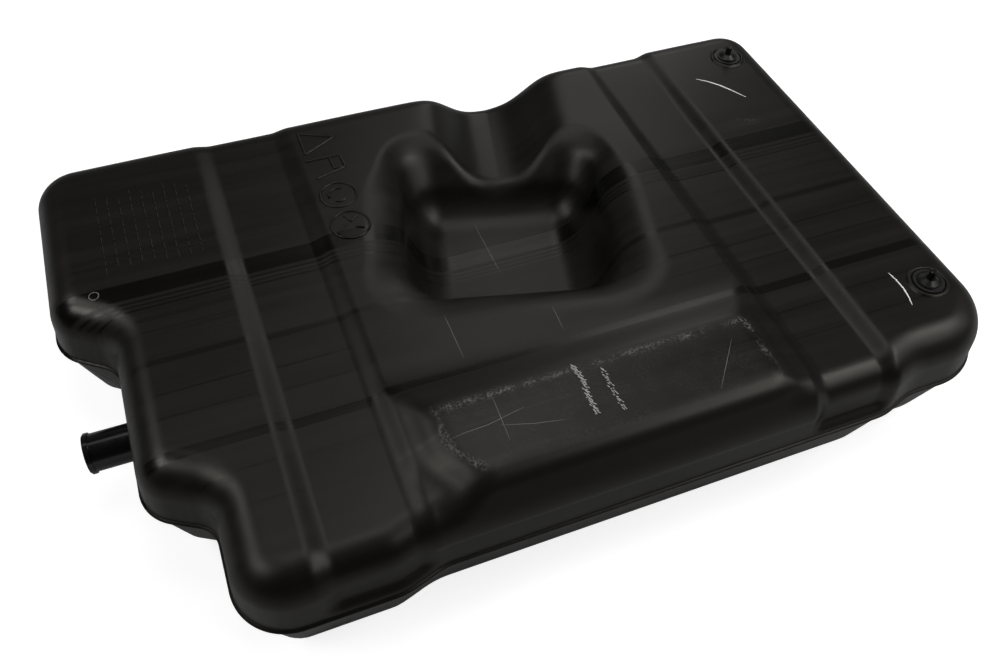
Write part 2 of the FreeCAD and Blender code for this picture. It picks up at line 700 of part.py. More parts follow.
def pump_flange():
    """Cover of the opening, with a skirt, rod sockets, hose stub, outlet nipple and plug socket."""
    plate = cylinder("flange_plate", "flange_radius", "flange_thickness",
                     (UNIT_X, UNIT_Y, FLANGE_Z))
    skirt = tube("flange_skirt", "skirt_radius", "skirt_radius - skirt_wall", "skirt_length",
                 (UNIT_X, UNIT_Y, FLANGE_TOP))
    pieces = [plate, skirt]
    holes = []
    for side, sign in (("left", " - "), ("right", " + ")):
        at = (UNIT_X + sign + "rod_spread", UNIT_Y + " + rod_shift", FLANGE_TOP)
        pieces.append(cylinder("rod_boss_" + side, "sleeve_radius", "2 * rod_radius", at))
        holes.append(cylinder("rod_socket_" + side, "rod_radius", "2 * rod_radius", at))
    pieces.append(cylinder("hose_stub", "outlet_radius", "hose_grip + hose_lift",
                           (PUMP_X, PUMP_Y, FLANGE_TOP)))
    stub_z = FLANGE_Z + " - nipple_stub"
    nipple_z = stub_z + " + stub_wall + nipple_radius"
    pieces.append(cylinder("nipple_stub_wall", "nipple_radius + stub_wall", "nipple_stub",
                           (PUMP_X, PUMP_Y, stub_z)))
    pieces.append(cylinder("nipple_pipe", "nipple_radius", "nipple_length",
                           (PUMP_X, PUMP_Y, nipple_z), ALONG_X))
    pieces.append(cylinder("nipple_bead", "nipple_radius + nipple_barb", "nipple_radius",
                           (PUMP_X + " + nipple_length - 2 * nipple_radius", PUMP_Y, nipple_z),
                           ALONG_X))
    socket_at = (UNIT_X + " - socket_x - socket_length / 2", UNIT_Y + " - socket_width / 2",
                 FLANGE_Z + " - socket_height")
    pieces.append(box("socket_solid", "socket_length", "socket_width", "socket_height",
                      socket_at))
    holes.append(box("socket_hole", "socket_length - 2 * socket_wall",
                     "socket_width - 2 * socket_wall", "socket_height - socket_wall",
                     (socket_at[0] + " + socket_wall", socket_at[1] + " + socket_wall",
                      socket_at[2])))
    holes.append(cylinder("outlet_hole", "nipple_bore",
                          "flange_thickness + nipple_stub - stub_wall - nipple_radius"
                          " + hose_grip + hose_lift",
                          (PUMP_X, PUMP_Y, nipple_z)))
    holes.append(cylinder("nipple_hole", "nipple_bore", "nipple_length",
                          (PUMP_X, PUMP_Y, nipple_z), ALONG_X))
    return cut("pump_flange", fused("flange_solid", pieces), holes)


def connector_contacts():
    """Four contact blades in the plug socket, as one group."""
    blades = []
    for row in range(4):
        blades.append(box("contact_%d" % row, "contact_size", "contact_size",
                          "contact_length",
                          (UNIT_X + " - socket_x - contact_size / 2",
                           UNIT_Y + " + contact_pitch * %s - contact_size / 2" % (row - 1.5),
                           FLANGE_Z + " - socket_wall - contact_length")))
    group = doc.addObject("Part::Compound", "connector_contacts")
    group.Links = blades
    return group


def lock_ring():
    """Pressed steel ring over the flange and down the neck, with six lugs for its key."""
    foot = FLANGE_Z + " - ring_thickness"
    outer = "neck_radius + ring_clearance + ring_thickness"
    pieces = [cylinder("ring_solid", outer, "ring_skirt", (UNIT_X, UNIT_Y, foot))]
    for lug in range(6):
        piece = doc.addObject("Part::Box", "ring_lug_%d" % lug)
        angle = 60 * lug
        cosine = "%.6f" % math.cos(math.radians(angle))
        sine = "%.6f" % math.sin(math.radians(angle))
        piece.Placement = FreeCAD.Placement(V(), FreeCAD.Rotation(V(0, 0, 1), angle))
        reach = "(neck_radius + ring_clearance + ring_thickness / 2)"
        bind(piece, (UNIT_X + " + %s * %s + %s * lug_length / 2" % (reach, cosine, sine),
                     UNIT_Y + " + %s * %s - %s * lug_length / 2" % (reach, sine, cosine), foot),
             Length="lug_width", Width="lug_length", Height="lug_height")
        pieces.append(piece)
    mouth = cylinder("ring_mouth", "ring_inner_radius", "ring_thickness",
                     (UNIT_X, UNIT_Y, foot))
    hollow = cylinder("ring_hollow", "neck_radius + ring_clearance",
                      "ring_skirt - ring_thickness", (UNIT_X, UNIT_Y, FLANGE_Z))
    return cut("lock_ring", fused("ring_blank", pieces), [mouth, hollow])


# Reservoir cup on two sprung rods, with the pump inside

CUP_Z = FLANGE_TOP + " + 2 * rod_radius + spring_length"
CUP_HEIGHT = DECK_INSIDE + " - cup_gap - (" + CUP_Z + ")"
CUP_FLOOR = DECK_INSIDE + " - cup_gap - cup_wall"
SHELF_Z = CUP_Z + " + shelf_height"
PUMP_TOP = CUP_FLOOR + " - pump_floor_gap"
HOSE_Z = FLANGE_TOP + " + hose_lift"
PUMP_Z = HOSE_Z + " + hose_length - hose_grip + outlet_length"
PUMP_LENGTH = PUMP_TOP + " - (" + PUMP_Z + ")"
SENDER_Z = "(" + CUP_Z + " + sender_lift)"


def rod_place(side, z):
    sign = " - " if side == "left" else " + "
    return (UNIT_X + sign + "rod_spread", UNIT_Y + " + rod_shift", z)


def guide_rod(side):
    return cylinder("guide_rod_" + side, "rod_radius", "rod_length", rod_place(side, FLANGE_TOP))


def rod_spring(side):
    """Open-wound compression spring between the rod's socket and the cup's sleeve."""
    foot = FLANGE_TOP + " + 2 * rod_radius + rod_spring_wire"
    height = "spring_length - 2 * rod_spring_wire"
    path = doc.addObject("Part::Helix", "spring_path_" + side)
    bind(path, rod_place(side, foot), Radius="spring_radius", Height=height,
         Pitch="(" + height + ") / rod_spring_turns")
    wire = doc.addObject("Part::Circle", "spring_wire_" + side)
    sign = " - " if side == "left" else " + "
    wire.Placement = FreeCAD.Placement(V(), FreeCAD.Rotation(V(1, 0, 0), 90))
    bind(wire, (UNIT_X + sign + "rod_spread + spring_radius", UNIT_Y + " + rod_shift", foot),
         Radius="rod_spring_wire")
    coil = doc.addObject("Part::Sweep", "rod_spring_" + side)
    coil.Sections = [wire]
    coil.Spine = (path, [])
    coil.Solid = True
    coil.Frenet = True
    return coil


def reservoir_cup():
    """Cup with two guide sleeves on its wall and a shelf that holds the pump."""
    at = (UNIT_X, UNIT_Y)
    outer = cylinder("cup_solid", "cup_radius", CUP_HEIGHT, at + (CUP_Z,))
    hollow = cylinder("cup_hollow", "cup_radius - cup_wall", CUP_HEIGHT + " - cup_wall",
                      at + (CUP_Z,))
    cup = cut("cup_wall_only", outer, [hollow])
    shelf = cylinder("cup_shelf", "cup_radius - cup_wall / 2", "shelf_thickness",
                     at + (SHELF_Z,))
    pieces = [cup, shelf]
    holes = []
    for side in ("left", "right"):
        pieces.append(cylinder("sleeve_" + side, "sleeve_radius", "sleeve_length",
                               rod_place(side, CUP_Z)))
        holes.append(cylinder("sleeve_bore_" + side, "rod_radius + rod_clearance",
                              "sleeve_length", rod_place(side, CUP_Z)))
    holes.append(cylinder("holder_hole", "pump_radius + isolator_wall", "shelf_thickness",
                          (PUMP_X, PUMP_Y, SHELF_Z)))
    for side, sign in (("left", " - "), ("right", " + ")):
        holes.append(cylinder("drain_" + side, "drain_radius", "shelf_thickness",
                              (UNIT_X + sign + "rod_spread", UNIT_Y + " - rod_shift / 2",
                               SHELF_Z)))
    return cut("reservoir_cup", fused("cup_blank", pieces), holes)


def fuel_pump():
    """Pump can with its inlet neck towards the cup's floor and its outlet towards the flange."""
    at = (PUMP_X, PUMP_Y)
    can = cylinder("pump_can", "pump_radius", PUMP_LENGTH, at + (PUMP_Z,))
    neck = cylinder("pump_inlet", "pump_neck_radius", "pump_neck", at + (PUMP_TOP,))
    outlet = cylinder("pump_outlet", "outlet_radius", "outlet_length",
                      at + (PUMP_Z + " - outlet_length",))
    bore = cylinder("pump_outlet_bore", "nipple_bore", "outlet_length",
                    at + (PUMP_Z + " - outlet_length",))
    return cut("fuel_pump", fused("pump_solid", [can, neck, outlet]), [bore])


def pump_isolator():
    """Rubber sleeve between the pump and the shelf."""
    return tube("pump_isolator", "pump_radius + isolator_wall", "pump_radius",
                "isolator_length",
                (PUMP_X, PUMP_Y, SHELF_Z + " - (isolator_length - shelf_thickness) / 2"))


def pump_strainer():
    """Flat strainer between the pump's neck and the floor of the cup, with round ends."""
    height = "pump_floor_gap - pump_neck"
    z = PUMP_TOP + " + pump_neck"
    half = "(strainer_length - strainer_width) / 2"
    middle = box("strainer_middle", "strainer_length - strainer_width", "strainer_width", height,
                 (PUMP_X + " - " + half, PUMP_Y + " - strainer_width / 2", z))
    ends = [cylinder("strainer_end_left", "strainer_width / 2", height,
                     (PUMP_X + " - " + half, PUMP_Y, z)),
            cylinder("strainer_end_right", "strainer_width / 2", height,
                     (PUMP_X + " + " + half, PUMP_Y, z))]
    return fused("pump_strainer", [middle] + ends)


def supply_hose():
    """Short ribbed hose from the pump's outlet to the flange's stub."""
    wall = cylinder("hose_wall_solid", "outlet_radius + hose_wall", "hose_length",
                    (PUMP_X, PUMP_Y, HOSE_Z))
    ribs = []
    for rib in range(5):
        z = HOSE_Z + " + hose_grip + hose_rib * %s" % (2 + 2.4 * rib)
        ribs.append(torus("hose_rib_%d" % rib, "outlet_radius + hose_wall", "hose_rib / 2",
                          (PUMP_X, PUMP_Y, z)))
    bore = cylinder("hose_bore", "outlet_radius", "hose_length", (PUMP_X, PUMP_Y, HOSE_Z))
    return cut("supply_hose", fused("hose_solid", [wall] + ribs), [bore])


# Level sender on the side of the cup

SENDER_FACE = UNIT_Y + " - cup_radius - sender_depth"
PIVOT_Y = SENDER_FACE + " + pivot_reach"
SENDER_SIDE = UNIT_X + " + sender_x + sender_width / 2"
HUB_X = SENDER_SIDE + " + side_clearance"
COSINE = "cos(arm_angle * 1 deg)"
SINE = "sin(arm_angle * 1 deg)"


def level_sender():
    """Sender case, its back hollowed to sit on the round cup, with the arm's pivot pin."""
    case = box("sender_case", "sender_width", "cup_radius / 2", "sender_height",
               (UNIT_X + " + sender_x - sender_width / 2", SENDER_FACE,
                SENDER_Z + " - sender_height / 2"))
    seat = cylinder("sender_seat", "cup_radius", "sender_height",
                    (UNIT_X, UNIT_Y, SENDER_Z + " - sender_height / 2"))
    pin = cylinder("sender_pivot", "pivot_radius", "hub_thickness + 2 * side_clearance",
                   (SENDER_SIDE, PIVOT_Y, SENDER_Z), ALONG_X)
    return fused("level_sender", [cut("sender_body", case, [seat]), pin])


def float_arm():
    """Bent wire arm: a hub on the sender's pivot, the arm, and the axle of the float."""
    wire_x = HUB_X + " + hub_thickness / 2"
    hub = cylinder("arm_hub", "hub_radius", "hub_thickness", (HUB_X, PIVOT_Y, SENDER_Z), ALONG_X)
    wire = cylinder("arm_wire", "arm_radius", "arm_length", (wire_x, PIVOT_Y, SENDER_Z))
    wire.Placement.Rotation = FreeCAD.Rotation(V(1, 0, 0), 90)
    wire.setExpression("Placement.Rotation.Angle", bound("90 + arm_angle"))
    axle = cylinder("arm_axle", "arm_radius",
                    "float_length + axle_end + hub_thickness / 2 + side_clearance",
                    (HUB_X + " - float_length - side_clearance - axle_end",
                     PIVOT_Y + " - arm_length * " + COSINE,
                     SENDER_Z + " - arm_length * " + SINE), ALONG_X)
    elbow = doc.addObject("Part::Sphere", "arm_elbow")
    bind(elbow, (wire_x, PIVOT_Y + " - arm_length * " + COSINE,
                 SENDER_Z + " - arm_length * " + SINE), Radius="arm_radius")
    bore = cylinder("arm_bore", "pivot_radius + hinge_clearance", "hub_thickness",
                    (HUB_X, PIVOT_Y, SENDER_Z), ALONG_X)
    return cut("float_arm", fused("arm_solid", [hub, wire, axle, elbow]), [bore])


def level_float():
    return tube("level_float", "float_radius", "arm_radius", "float_length",
                (HUB_X + " - float_length - side_clearance",
                 PIVOT_Y + " - arm_length * " + COSINE,
                 SENDER_Z + " - arm_length * " + SINE), ALONG_X)


# Roll-over vent valves

VALVE_PLACES = {
    "left": ("(left_valve_from_left - body_length / 2)",
             "(left_valve_from_front - body_width / 2)"),
    "right": ("(body_length / 2 - right_valve_from_right)",
              "(body_width / 2 - right_valve_from_back)"),
}


def vent_valve(side):
    """Slotted valve body with its outer flange and vent nipple."""
    at = VALVE_PLACES[side]
    flange_z = "valve_dish_depth - valve_flange_thickness"
    nipple_z = flange_z + " - vent_lift - vent_radius"
    flange = cylinder("valve_flange_" + side, "valve_flange_radius", "valve_flange_thickness",
                      at + (flange_z,))
    body = cylinder("valve_body_" + side, "valve_radius", "valve_length",
                    at + (flange_z,))
    stub = cylinder("valve_stub_" + side, "vent_radius + 2 * stub_wall",
                    "2 * vent_radius + stub_wall + vent_lift",
                    at + (nipple_z + " - vent_radius - stub_wall",))
    root = cylinder("valve_root_" + side, "vent_radius + stub_wall", "vent_root",
                    at + (nipple_z,), ALONG_X)
    nipple = cylinder("valve_nipple_" + side, "vent_radius", "vent_length",
                      at + (nipple_z,), ALONG_X)
    hollow = cylinder("valve_hollow_" + side, "valve_radius - valve_wall",
                      "valve_length - valve_flange_thickness - valve_wall",
                      at + ("valve_dish_depth",))
    vent = cylinder("valve_vent_" + side, "vent_bore",
                    "valve_flange_thickness + vent_lift + vent_radius", at + (nipple_z,))
    bore = cylinder("valve_bore_" + side, "vent_bore", "vent_length",
                    at + (nipple_z,), ALONG_X)
    slots = []
    slot_z = "valve_dish_depth + valve_slot_height / 2"
    reach = " - valve_flange_radius"
    slots.append(box("valve_slot_x_" + side, "2 * valve_flange_radius", "valve_slot_width",
                     "valve_slot_height",
                     (at[0] + reach, at[1] + " - valve_slot_width / 2", slot_z)))
    slots.append(box("valve_slot_y_" + side, "valve_slot_width", "2 * valve_flange_radius",
                     "valve_slot_height",
                     (at[0] + " - valve_slot_width / 2", at[1] + reach, slot_z)))
    solid = fused("valve_solid_" + side, [flange, body, stub, root, nipple])
    return cut("vent_valve_" + side, solid, [hollow, vent, bore] + slots)


def vent_float(side):
    """Float that lies on the valve's seat and closes it when the tank is turned over."""
    at = VALVE_PLACES[side] + ("valve_dish_depth + vent_float_gap",)
    return cylinder("vent_float_" + side, "vent_float_radius", "vent_float_height", at)


NODES = [shell, filler_spigot(), inlet_flap(), flap_pin(), flap_spring()]
for place in ("back", "front"):
    NODES += [shield_stud(place), stud_washer(place), push_nut(place)]
NODES += [pump_seal(), pump_flange(), connector_contacts(), lock_ring()]
for side in ("left", "right"):
    NODES += [guide_rod(side), rod_spring(side)]
NODES += [reservoir_cup(), fuel_pump(), pump_isolator(), pump_strainer(), supply_hose()]
NODES += [level_sender(), float_arm(), level_float()]
for side in ("left", "right"):
    NODES += [vent_valve(side), vent_float(side)]

doc.recompute()

for item in doc.Objects:
    if "Invalid" in item.State or "Error" in item.State:
        raise RuntimeError("%s did not build: %s" % (item.Label, item.State))
for node in NODES:
    if node.Shape.isNull() or not node.Shape.isValid() or not node.Shape.Solids:
        raise RuntimeError("%s has no valid solid" % node.Label)

os.makedirs("parts", exist_ok=True)
for node in NODES:
    node.Shape.exportStep("parts/%s.step" % node.Label)
    corner = node.Shape.BoundBox
    print("%-20s %2d solid(s) %10.1f mm3  z %.1f to %.1f"
          % (node.Label, len(node.Shape.Solids), node.Shape.Volume, corner.ZMin, corner.ZMax))
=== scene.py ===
import math

import bpy
import numpy as np
from mathutils import Matrix, Vector


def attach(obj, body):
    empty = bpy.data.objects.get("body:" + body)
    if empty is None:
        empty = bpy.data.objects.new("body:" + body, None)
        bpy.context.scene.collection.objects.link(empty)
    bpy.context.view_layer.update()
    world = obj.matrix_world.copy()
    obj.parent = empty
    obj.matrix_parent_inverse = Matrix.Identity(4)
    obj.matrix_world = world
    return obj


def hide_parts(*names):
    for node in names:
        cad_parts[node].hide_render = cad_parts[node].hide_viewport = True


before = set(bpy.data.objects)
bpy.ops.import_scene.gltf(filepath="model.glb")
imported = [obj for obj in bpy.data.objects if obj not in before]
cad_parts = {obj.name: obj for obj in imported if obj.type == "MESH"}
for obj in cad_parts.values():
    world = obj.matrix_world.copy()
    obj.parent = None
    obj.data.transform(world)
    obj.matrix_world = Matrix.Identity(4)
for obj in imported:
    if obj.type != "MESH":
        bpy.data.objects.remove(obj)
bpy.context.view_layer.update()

MM = 0.001

# Sizes of the tank in millimetres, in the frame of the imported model

DECK = 170.0
SEAM = 102.0
HALF_LENGTH = 477.0
HALF_WIDTH = 308.5
UPPER_DRAFT = 7.0
LOWER_DRAFT = 30.0
RIM_RADIUS = 34.0
BASE_RADIUS = 28.0
CHANNEL_FOOT = 112.0
FRONT_LEFT = -HALF_WIDTH
FRONT_MIDDLE = -HALF_WIDTH + 13
FRONT_RIGHT = -HALF_WIDTH + 26
NOTCH = -HALF_LENGTH + 57
FOOT = NOTCH + 61

# Corners of the outline at the seam, counterclockwise: x, y, radius
CORNERS = [
    (FOOT, FRONT_LEFT, 55),
    (-213, FRONT_LEFT, 70),
    (-171, FRONT_MIDDLE, 70),
    (317, FRONT_MIDDLE, 70),
    (357, FRONT_RIGHT, 70),
    (HALF_LENGTH, FRONT_RIGHT, 78),
    (HALF_LENGTH, HALF_WIDTH, 48),
    (-HALF_LENGTH, HALF_WIDTH, 52),
    (-HALF_LENGTH, 70.5, 48),
    (NOTCH, 29.5, 36),
    (NOTCH, -152.5, 46),
    (FOOT, -187.5, 30),
]

# Strap channels: centre, half the floor's width, depth at the front wall and at the back wall
CHANNELS = [(-231.5, 35.5, 6.5, 3.0), (273.5, 30.5, 8.5, 4.5)]
CHANNEL_SLOPE = 23.0
CHANNEL_BACK_FROM = (120, 290)
CHANNEL_END = (CHANNEL_FOOT - 6, CHANNEL_FOOT + 8)

# Pocket and valley, turned about the pocket's centre
POCKET_CENTRE = (17.0, 37.5)
POCKET_TURN = math.radians(-14)
POCKET_SIDES = (-130.0, 140.0, -100.0, 165.0)
POCKET_DEPTH = 85.0
POCKET_DEPTHS = (0, 14, 46, 85)
SIDE_INSETS = (0, 14, 26, 42)
BACK_INSETS = (0, 19, 48, 62)
POCKET_CORNER = 52.0
FLOOR_CORNER = 28.0
POCKET_EDGE_FRONT = 42.0
POCKET_EDGE_SIDE = 32.0
POCKET_EDGE_BACK = 14.0
POCKET_EDGE_FRONT_END = (-90, -30)
POCKET_EDGE_SIDE_END = (60, 130)
POCKET_FLOOR_EDGE = 34.0
PROFILE_SPREAD = 5
VALLEY_SPREAD = 10
VALLEY_RIM_SHARE = 0.25
VALLEY_SHIFT = 10.0
VALLEY_WIDTHS = (0, 25, 37, 50, 62, 76, 92)
VALLEY_DEPTHS = (49, 45.5, 38.5, 27, 13.5, 3, 0)
VALLEY_START = (84.0, 104.0)

# Raised pad: each flank passes through its top edge and falls by the rise over its run
PAD_TOP = 188.0
PAD_RISE = 18.0
PAD_FLANKS = [
    ((-146, 0), (-1, 0), 30),
    ((190, 0), (1, 0), 30),
    ((0, -182), (0, 1), 48),
    ((0, -276), (0, -1), 8),
    ((-129, -250.5), (-0.832, -0.555), 26),
]
PAD_EDGE = 7.0
PAD_FRONT_EDGE = 26.0
PAD_ROOT = 8.0
PAD_FOOT = 140.0

# Recesses in the hidden face: x, y, radius, depth, flare
RECESSES = [(-348, 157.5, 98, 38, 12), (-120, -178.5, 58, 18, 6), (357, 130, 58, 18, 6)]
RECESS_EDGE = 6.0

UPPER_CELL = 3.5
LOWER_CELL = 6.0
UPPER_ROWS = 7
LOWER_ROWS = 18
DEEP_INSIDE = -25.0
POCKET_FOOT = 60.0
GRID_TOP = 197.0
ABOVE_ALL = 200.0
HALVINGS = 20
PROJECTIONS = 3
LEAST_SLOPE = 0.05
SLOPE_REACH = 0.5

# The lip where the two halves of the mould met: distance out, height
LIP_PROFILE = [(-1.5, 99.3), (1.6, 100.6), (2.2, 101.4), (2.2, 102.6), (1.6, 103.4), (-1.5, 104.7)]

# Moulded marks on the deck: places in plan
MARK_SIZE = (3.2, 1.7)
TRIANGLE = [(-166, 264), (-166, 224), (-126, 245)]
HOOK = [(-168, 211), (-128, 211), (-127, 188), (-163, 178)]
HOOK_TURN = [(-141, 208), (-140, 190), (-129, 188)]
RINGS = [((-147, 144), 20.5), ((-147, 93), 21.5)]
INNER_ARC_RADIUS = 11
INNER_ARCS = [(60, 190), (240, 300)]
RING_TICKS = [((-150, 109), (-145, 98)), ((-145, 98), (-136, 105)), ((-152, 94), (-163, 83)),
              ((-142, 88), (-133, 84))]

# Faint rows of bars in the place of the moulded text
BAR_ROWS = 9
BAR_FIRST = (-406.0, 228.0)
BAR_PITCH = 12.4
BAR_STAGGER = 6
BAR_END = 112
BAR_GAP = 3.5
BAR_SIZE = (2.0, 0.55)

# Scratches in plan; scuffs with the pitch of their flecks
HAIRS = [
    [(353, 206), (366, 196), (377, 184), (387, 169), (397, 152)],
    [(384, -171), (386, -183), (386, -195), (384, -207), (380, -219)],
]
FINE_SCRATCHES = [
    [(-92, -65), (-92, -126)],
    [(18, -91), (16, -125)],
    [(14, 128), (15, 43)],
    [(-141, -220), (-125, -218), (-102, -217), (-63, -210)],
    [(-87, -186), (-89, -239)],
    [(-92, -221), (-62, -230), (-33, -236)],
    [(162, -205), (140, -232), (122, -254)],
]
SCUFFS = [
    ([(-1, -180), (1, -201), (-2, -218), (-2, -240)], 1.7),
    ([(24, -195), (23, -219), (24, -243)], 3.2),
]

# Shield stud bosses and the spigot's boss: radius, height or place along the spigot
TURNED_STEPS = 96
BOSS_SWELL = 0.018
BOSS_SIDES = {"back": 6, "front": 0}
STUD_PLACES = {"back": (417, 235.5), "front": (417, -197.5)}
STUD_BOSS = [(25, 168.5), (22.8, 170.2), (21.6, 172), (19.9, 172.4), (18.6, 171.6), (18, 169)]
SPIGOT_AXIS = (-44.5, 77.0)
SPIGOT_BOSS = [(33, -404), (32.5, -414), (31.2, -416.6), (29.6, -416.8), (29.2, -414)]

# Cross-section of a rib or scratch: share of its width, share of its rise
RIB_PROFILE = [(-0.5, -0.25), (-0.33, 0.75), (0, 1), (0.33, 0.75), (0.5, -0.25)]
RIB_STEP = 1.6

# Widths and rises of the scratches
HAIR_SIZE = (2.0, 0.2)
FINE_SIZE = (0.6, 0.08)
FLECK_SIZE = (1.1, 0.12)
FLECK_SWAY = [(1.7, 5.1), (0.8, 2.9)]
FLECK_REACH = 1.5
FLECK_VARIES = 1.0
FLECK_PACE = 2.3
FLECK_LEAN = 1.4
SHORT_FLECK = 0.7
SHORT_FLECK_LEAN = 1.6
ROUND_MARK = ((-422, 79), 5)
ROUND_MARK_SIZE = (0.9, 0.12)

# Rubbed places: the band inside the pad's edges, the pad's top and a smudge near the right edge
WEAR_INSET = 2.5
WEAR_SPREAD = 3.5
EDGE_WEAR = 0.75
TOP_WEAR = 0.05
PAD_WORN_FROM = (184, 187.5)
SMUDGE_PLACE = (371, 111)
SMUDGE_SPREAD = (13, 6)
SMUDGE_WEAR = 0.5

# Bands that the mould's die left along the tank: place in y, width and strength, in metres
DIE_BANDS = [(0.074, 0.023, 1.0), (0.0565, 0.0025, 0.8), (0.0505, 0.002, 0.7),
             (0.0445, 0.002, 0.8), (-0.029, 0.007, 0.55), (-0.0695, 0.002, 0.6),
             (-0.0975, 0.002, 0.5), (-0.14, 0.011, 0.9), (0.012, 0.0015, 0.4),
             (-0.175, 0.0015, 0.5), (0.118, 0.0015, 0.4), (-0.212, 0.002, 0.4)]
BAND_WANDER = 0.004
BAND_FADE = (-0.0006, 0.0008)

# Finish of the tank, and a warm tint painted into its reflections that stands in for warm light
PLASTIC_DARK = (0.0036, 0.0034, 0.0031)
PLASTIC_LIGHT = (0.0062, 0.0057, 0.0052)
BAND_COLOUR = (0.0016, 0.0015, 0.0014)
WORN_COLOUR = (0.17, 0.162, 0.15)
WARM_LIGHT_TINT = (1.0, 0.945, 0.865, 1)
SHEEN_LEVEL = 0.29
LEAST_ROUGHNESS = 0.23
STREAK_ROUGHNESS = 0.10
COARSE_ROUGHNESS = 0.12
BLOTCH_ROUGHNESS = 0.10
BAND_GLOSS = 0.12
WORN_ROUGHNESS = 0.2

# Camera at the photograph's viewpoint
CAMERA_PLACE = (-0.283, -0.6425, 0.89607)
YAW = math.radians(23.82)
PITCH = math.radians(51.13)
ROLL = math.radians(-3.22)
LENS = 33.12

# Soft lights: azimuth, elevation, watts
LIGHTS = [
    ("left_low", -95, 46, 13.5),
    ("left_ahead", -62, 44, 8.5),
    ("left_high", -35, 68, 1.8),
    ("ahead", 22, 46, 3.3),
    ("ahead_low", 32, 25, 3.1),
    ("overhead_ahead", 30, 68, 5.6),
    ("overhead", 0, 88, 6.4),
    ("right", 108, 46, 16.0),
    ("right_low", 110, 25, 2.8),
    ("right_high", 108, 68, 3.0),
    ("right_behind", 138, 42, 10.0),
]
LIGHT_SIZE = 0.8
LIGHT_REACH = 2.6
LIGHT_TARGET = (0, 0, 0.1)

# Floor, and a dim studio that is paler ahead of the camera and at the horizon
FLOOR_COLOUR = (0.5, 0.5, 0.5)
FLOOR_LIFT = 0.8
WORLD_DIM = 0.012
WORLD_AHEAD = 0.08
WORLD_HORIZON = 0.06
WORLD_HEADING = (0.57, 0.82)
WORLD_AHEAD_FROM = (0.35, 0.75)
HORIZON_HEIGHT = (0.02, 0.35)


def smooth_step(low, high, values):
    share = np.clip((values - low) / (high - low), 0, 1)
    return share * share * (3 - 2 * share)


def round_max(first, second, radius):
    """The larger of two fields, with the edge where they meet rounded to a radius."""
    corner = np.hypot(np.maximum(first + radius, 0), np.maximum(second + radius, 0))
    return np.minimum(np.maximum(first, second), -radius) + corner


def smooth_max(first, second, width):
    """The larger of two fields, blended where they are within a width of each other."""
    overlap = np.maximum(width - np.abs(first - second), 0) / width
    return np.maximum(first, second) + overlap * overlap * width / 4


def smooth_min(first, second, width):
    return -smooth_max(-first, -second, width)


def soft_profile(positions, heights, spread):
    """A broken line sampled every millimetre and evened out over a spread."""
    fine = np.arange(positions[0] - 3 * spread, positions[-1] + 3 * spread + 1)
    raw = np.interp(fine, positions, heights)
    kernel = np.exp(-0.5 * (np.arange(-3 * spread, 3 * spread + 1) / spread) ** 2)
    padded = np.pad(raw, 3 * spread, mode="edge")
    return fine, np.convolve(padded, kernel / kernel.sum(), mode="valid")


def outline_points():
    """The outline as one closed line: straight sides joined by arcs."""
    line = []
    count = len(CORNERS)
    for index in range(count):
        x, y, radius = CORNERS[index]
        corner = np.array([x, y], float)
        before = np.array(CORNERS[index - 1][:2]) - corner
        after = np.array(CORNERS[(index + 1) % count][:2]) - corner
        before /= np.linalg.norm(before)
        after /= np.linalg.norm(after)
        half = math.acos(np.clip(before @ after, -1, 1)) / 2
        middle = before + after
        centre = corner + middle / np.linalg.norm(middle) * radius / math.sin(half)
        start = corner + before * radius / math.tan(half) - centre
        sweep = math.pi - 2 * half
        side = before[0] * after[1] - before[1] * after[0]
        turn = -sweep if side > 0 else sweep
        steps = max(2, math.ceil(sweep / math.radians(3)))
        for step in range(steps + 1):
            angle = turn * step / steps
            cosine, sine = math.cos(angle), math.sin(angle)
            line.append(centre + [start[0] * cosine - start[1] * sine,
                                  start[0] * sine + start[1] * cosine])
    return np.array(line)


OUTLINE = outline_points()


def outline_distance(x, y):
    """Distance from the outline at the seam, negative inside it."""
    nearest = np.full(x.shape, 1e12)
    inside = np.zeros(x.shape, bool)
    for start, end in zip(OUTLINE, np.roll(OUTLINE, -1, axis=0)):
        along_x, along_y = end - start
        from_x, from_y = x - start[0], y - start[1]
        share = (from_x * along_x + from_y * along_y) / (along_x ** 2 + along_y ** 2)
        share = np.clip(share, 0, 1)
        gap = (from_x - share * along_x) ** 2 + (from_y - share * along_y) ** 2
        nearest = np.minimum(nearest, gap)
        if along_y:
            crosses = (start[1] > y) != (end[1] > y)
            inside ^= crosses & (from_x < from_y * along_x / along_y)
    return np.where(inside, -1, 1) * np.sqrt(nearest)


def in_pocket_frame(x, y):
    """Coordinates along the pocket's own sides."""
    cosine, sine = math.cos(POCKET_TURN), math.sin(POCKET_TURN)
    from_x, from_y = x - POCKET_CENTRE[0], y - POCKET_CENTRE[1]
    return from_x * cosine + from_y * sine, from_y * cosine - from_x * sine


VALLEY_PROFILE = soft_profile(VALLEY_WIDTHS, VALLEY_DEPTHS, VALLEY_SPREAD)
SIDE_PROFILE = soft_profile(POCKET_DEPTHS, SIDE_INSETS, PROFILE_SPREAD)
BACK_PROFILE = soft_profile(POCKET_DEPTHS, BACK_INSETS, PROFILE_SPREAD)


def valley_depth(x, y):
    u, v = in_pocket_frame(x, y)
    across = np.interp(np.abs(u - VALLEY_SHIFT), *VALLEY_PROFILE)
    return across * smooth_step(*VALLEY_START, v)


def wall_field(distance, z):
    """The drafted side walls of both halves."""
    upper = UPPER_DRAFT * (z - SEAM) / (DECK - SEAM)
    lower = LOWER_DRAFT * (SEAM - z) / SEAM
    return distance + np.where(z > SEAM, upper, lower)


def waviness(x, y):
    """The slow unevenness of a blow-moulded face."""
    return 0.35 * np.sin(x / 61 + 1.3) * np.sin(y / 47) + 0.25 * np.sin(x / 37 - y / 53)


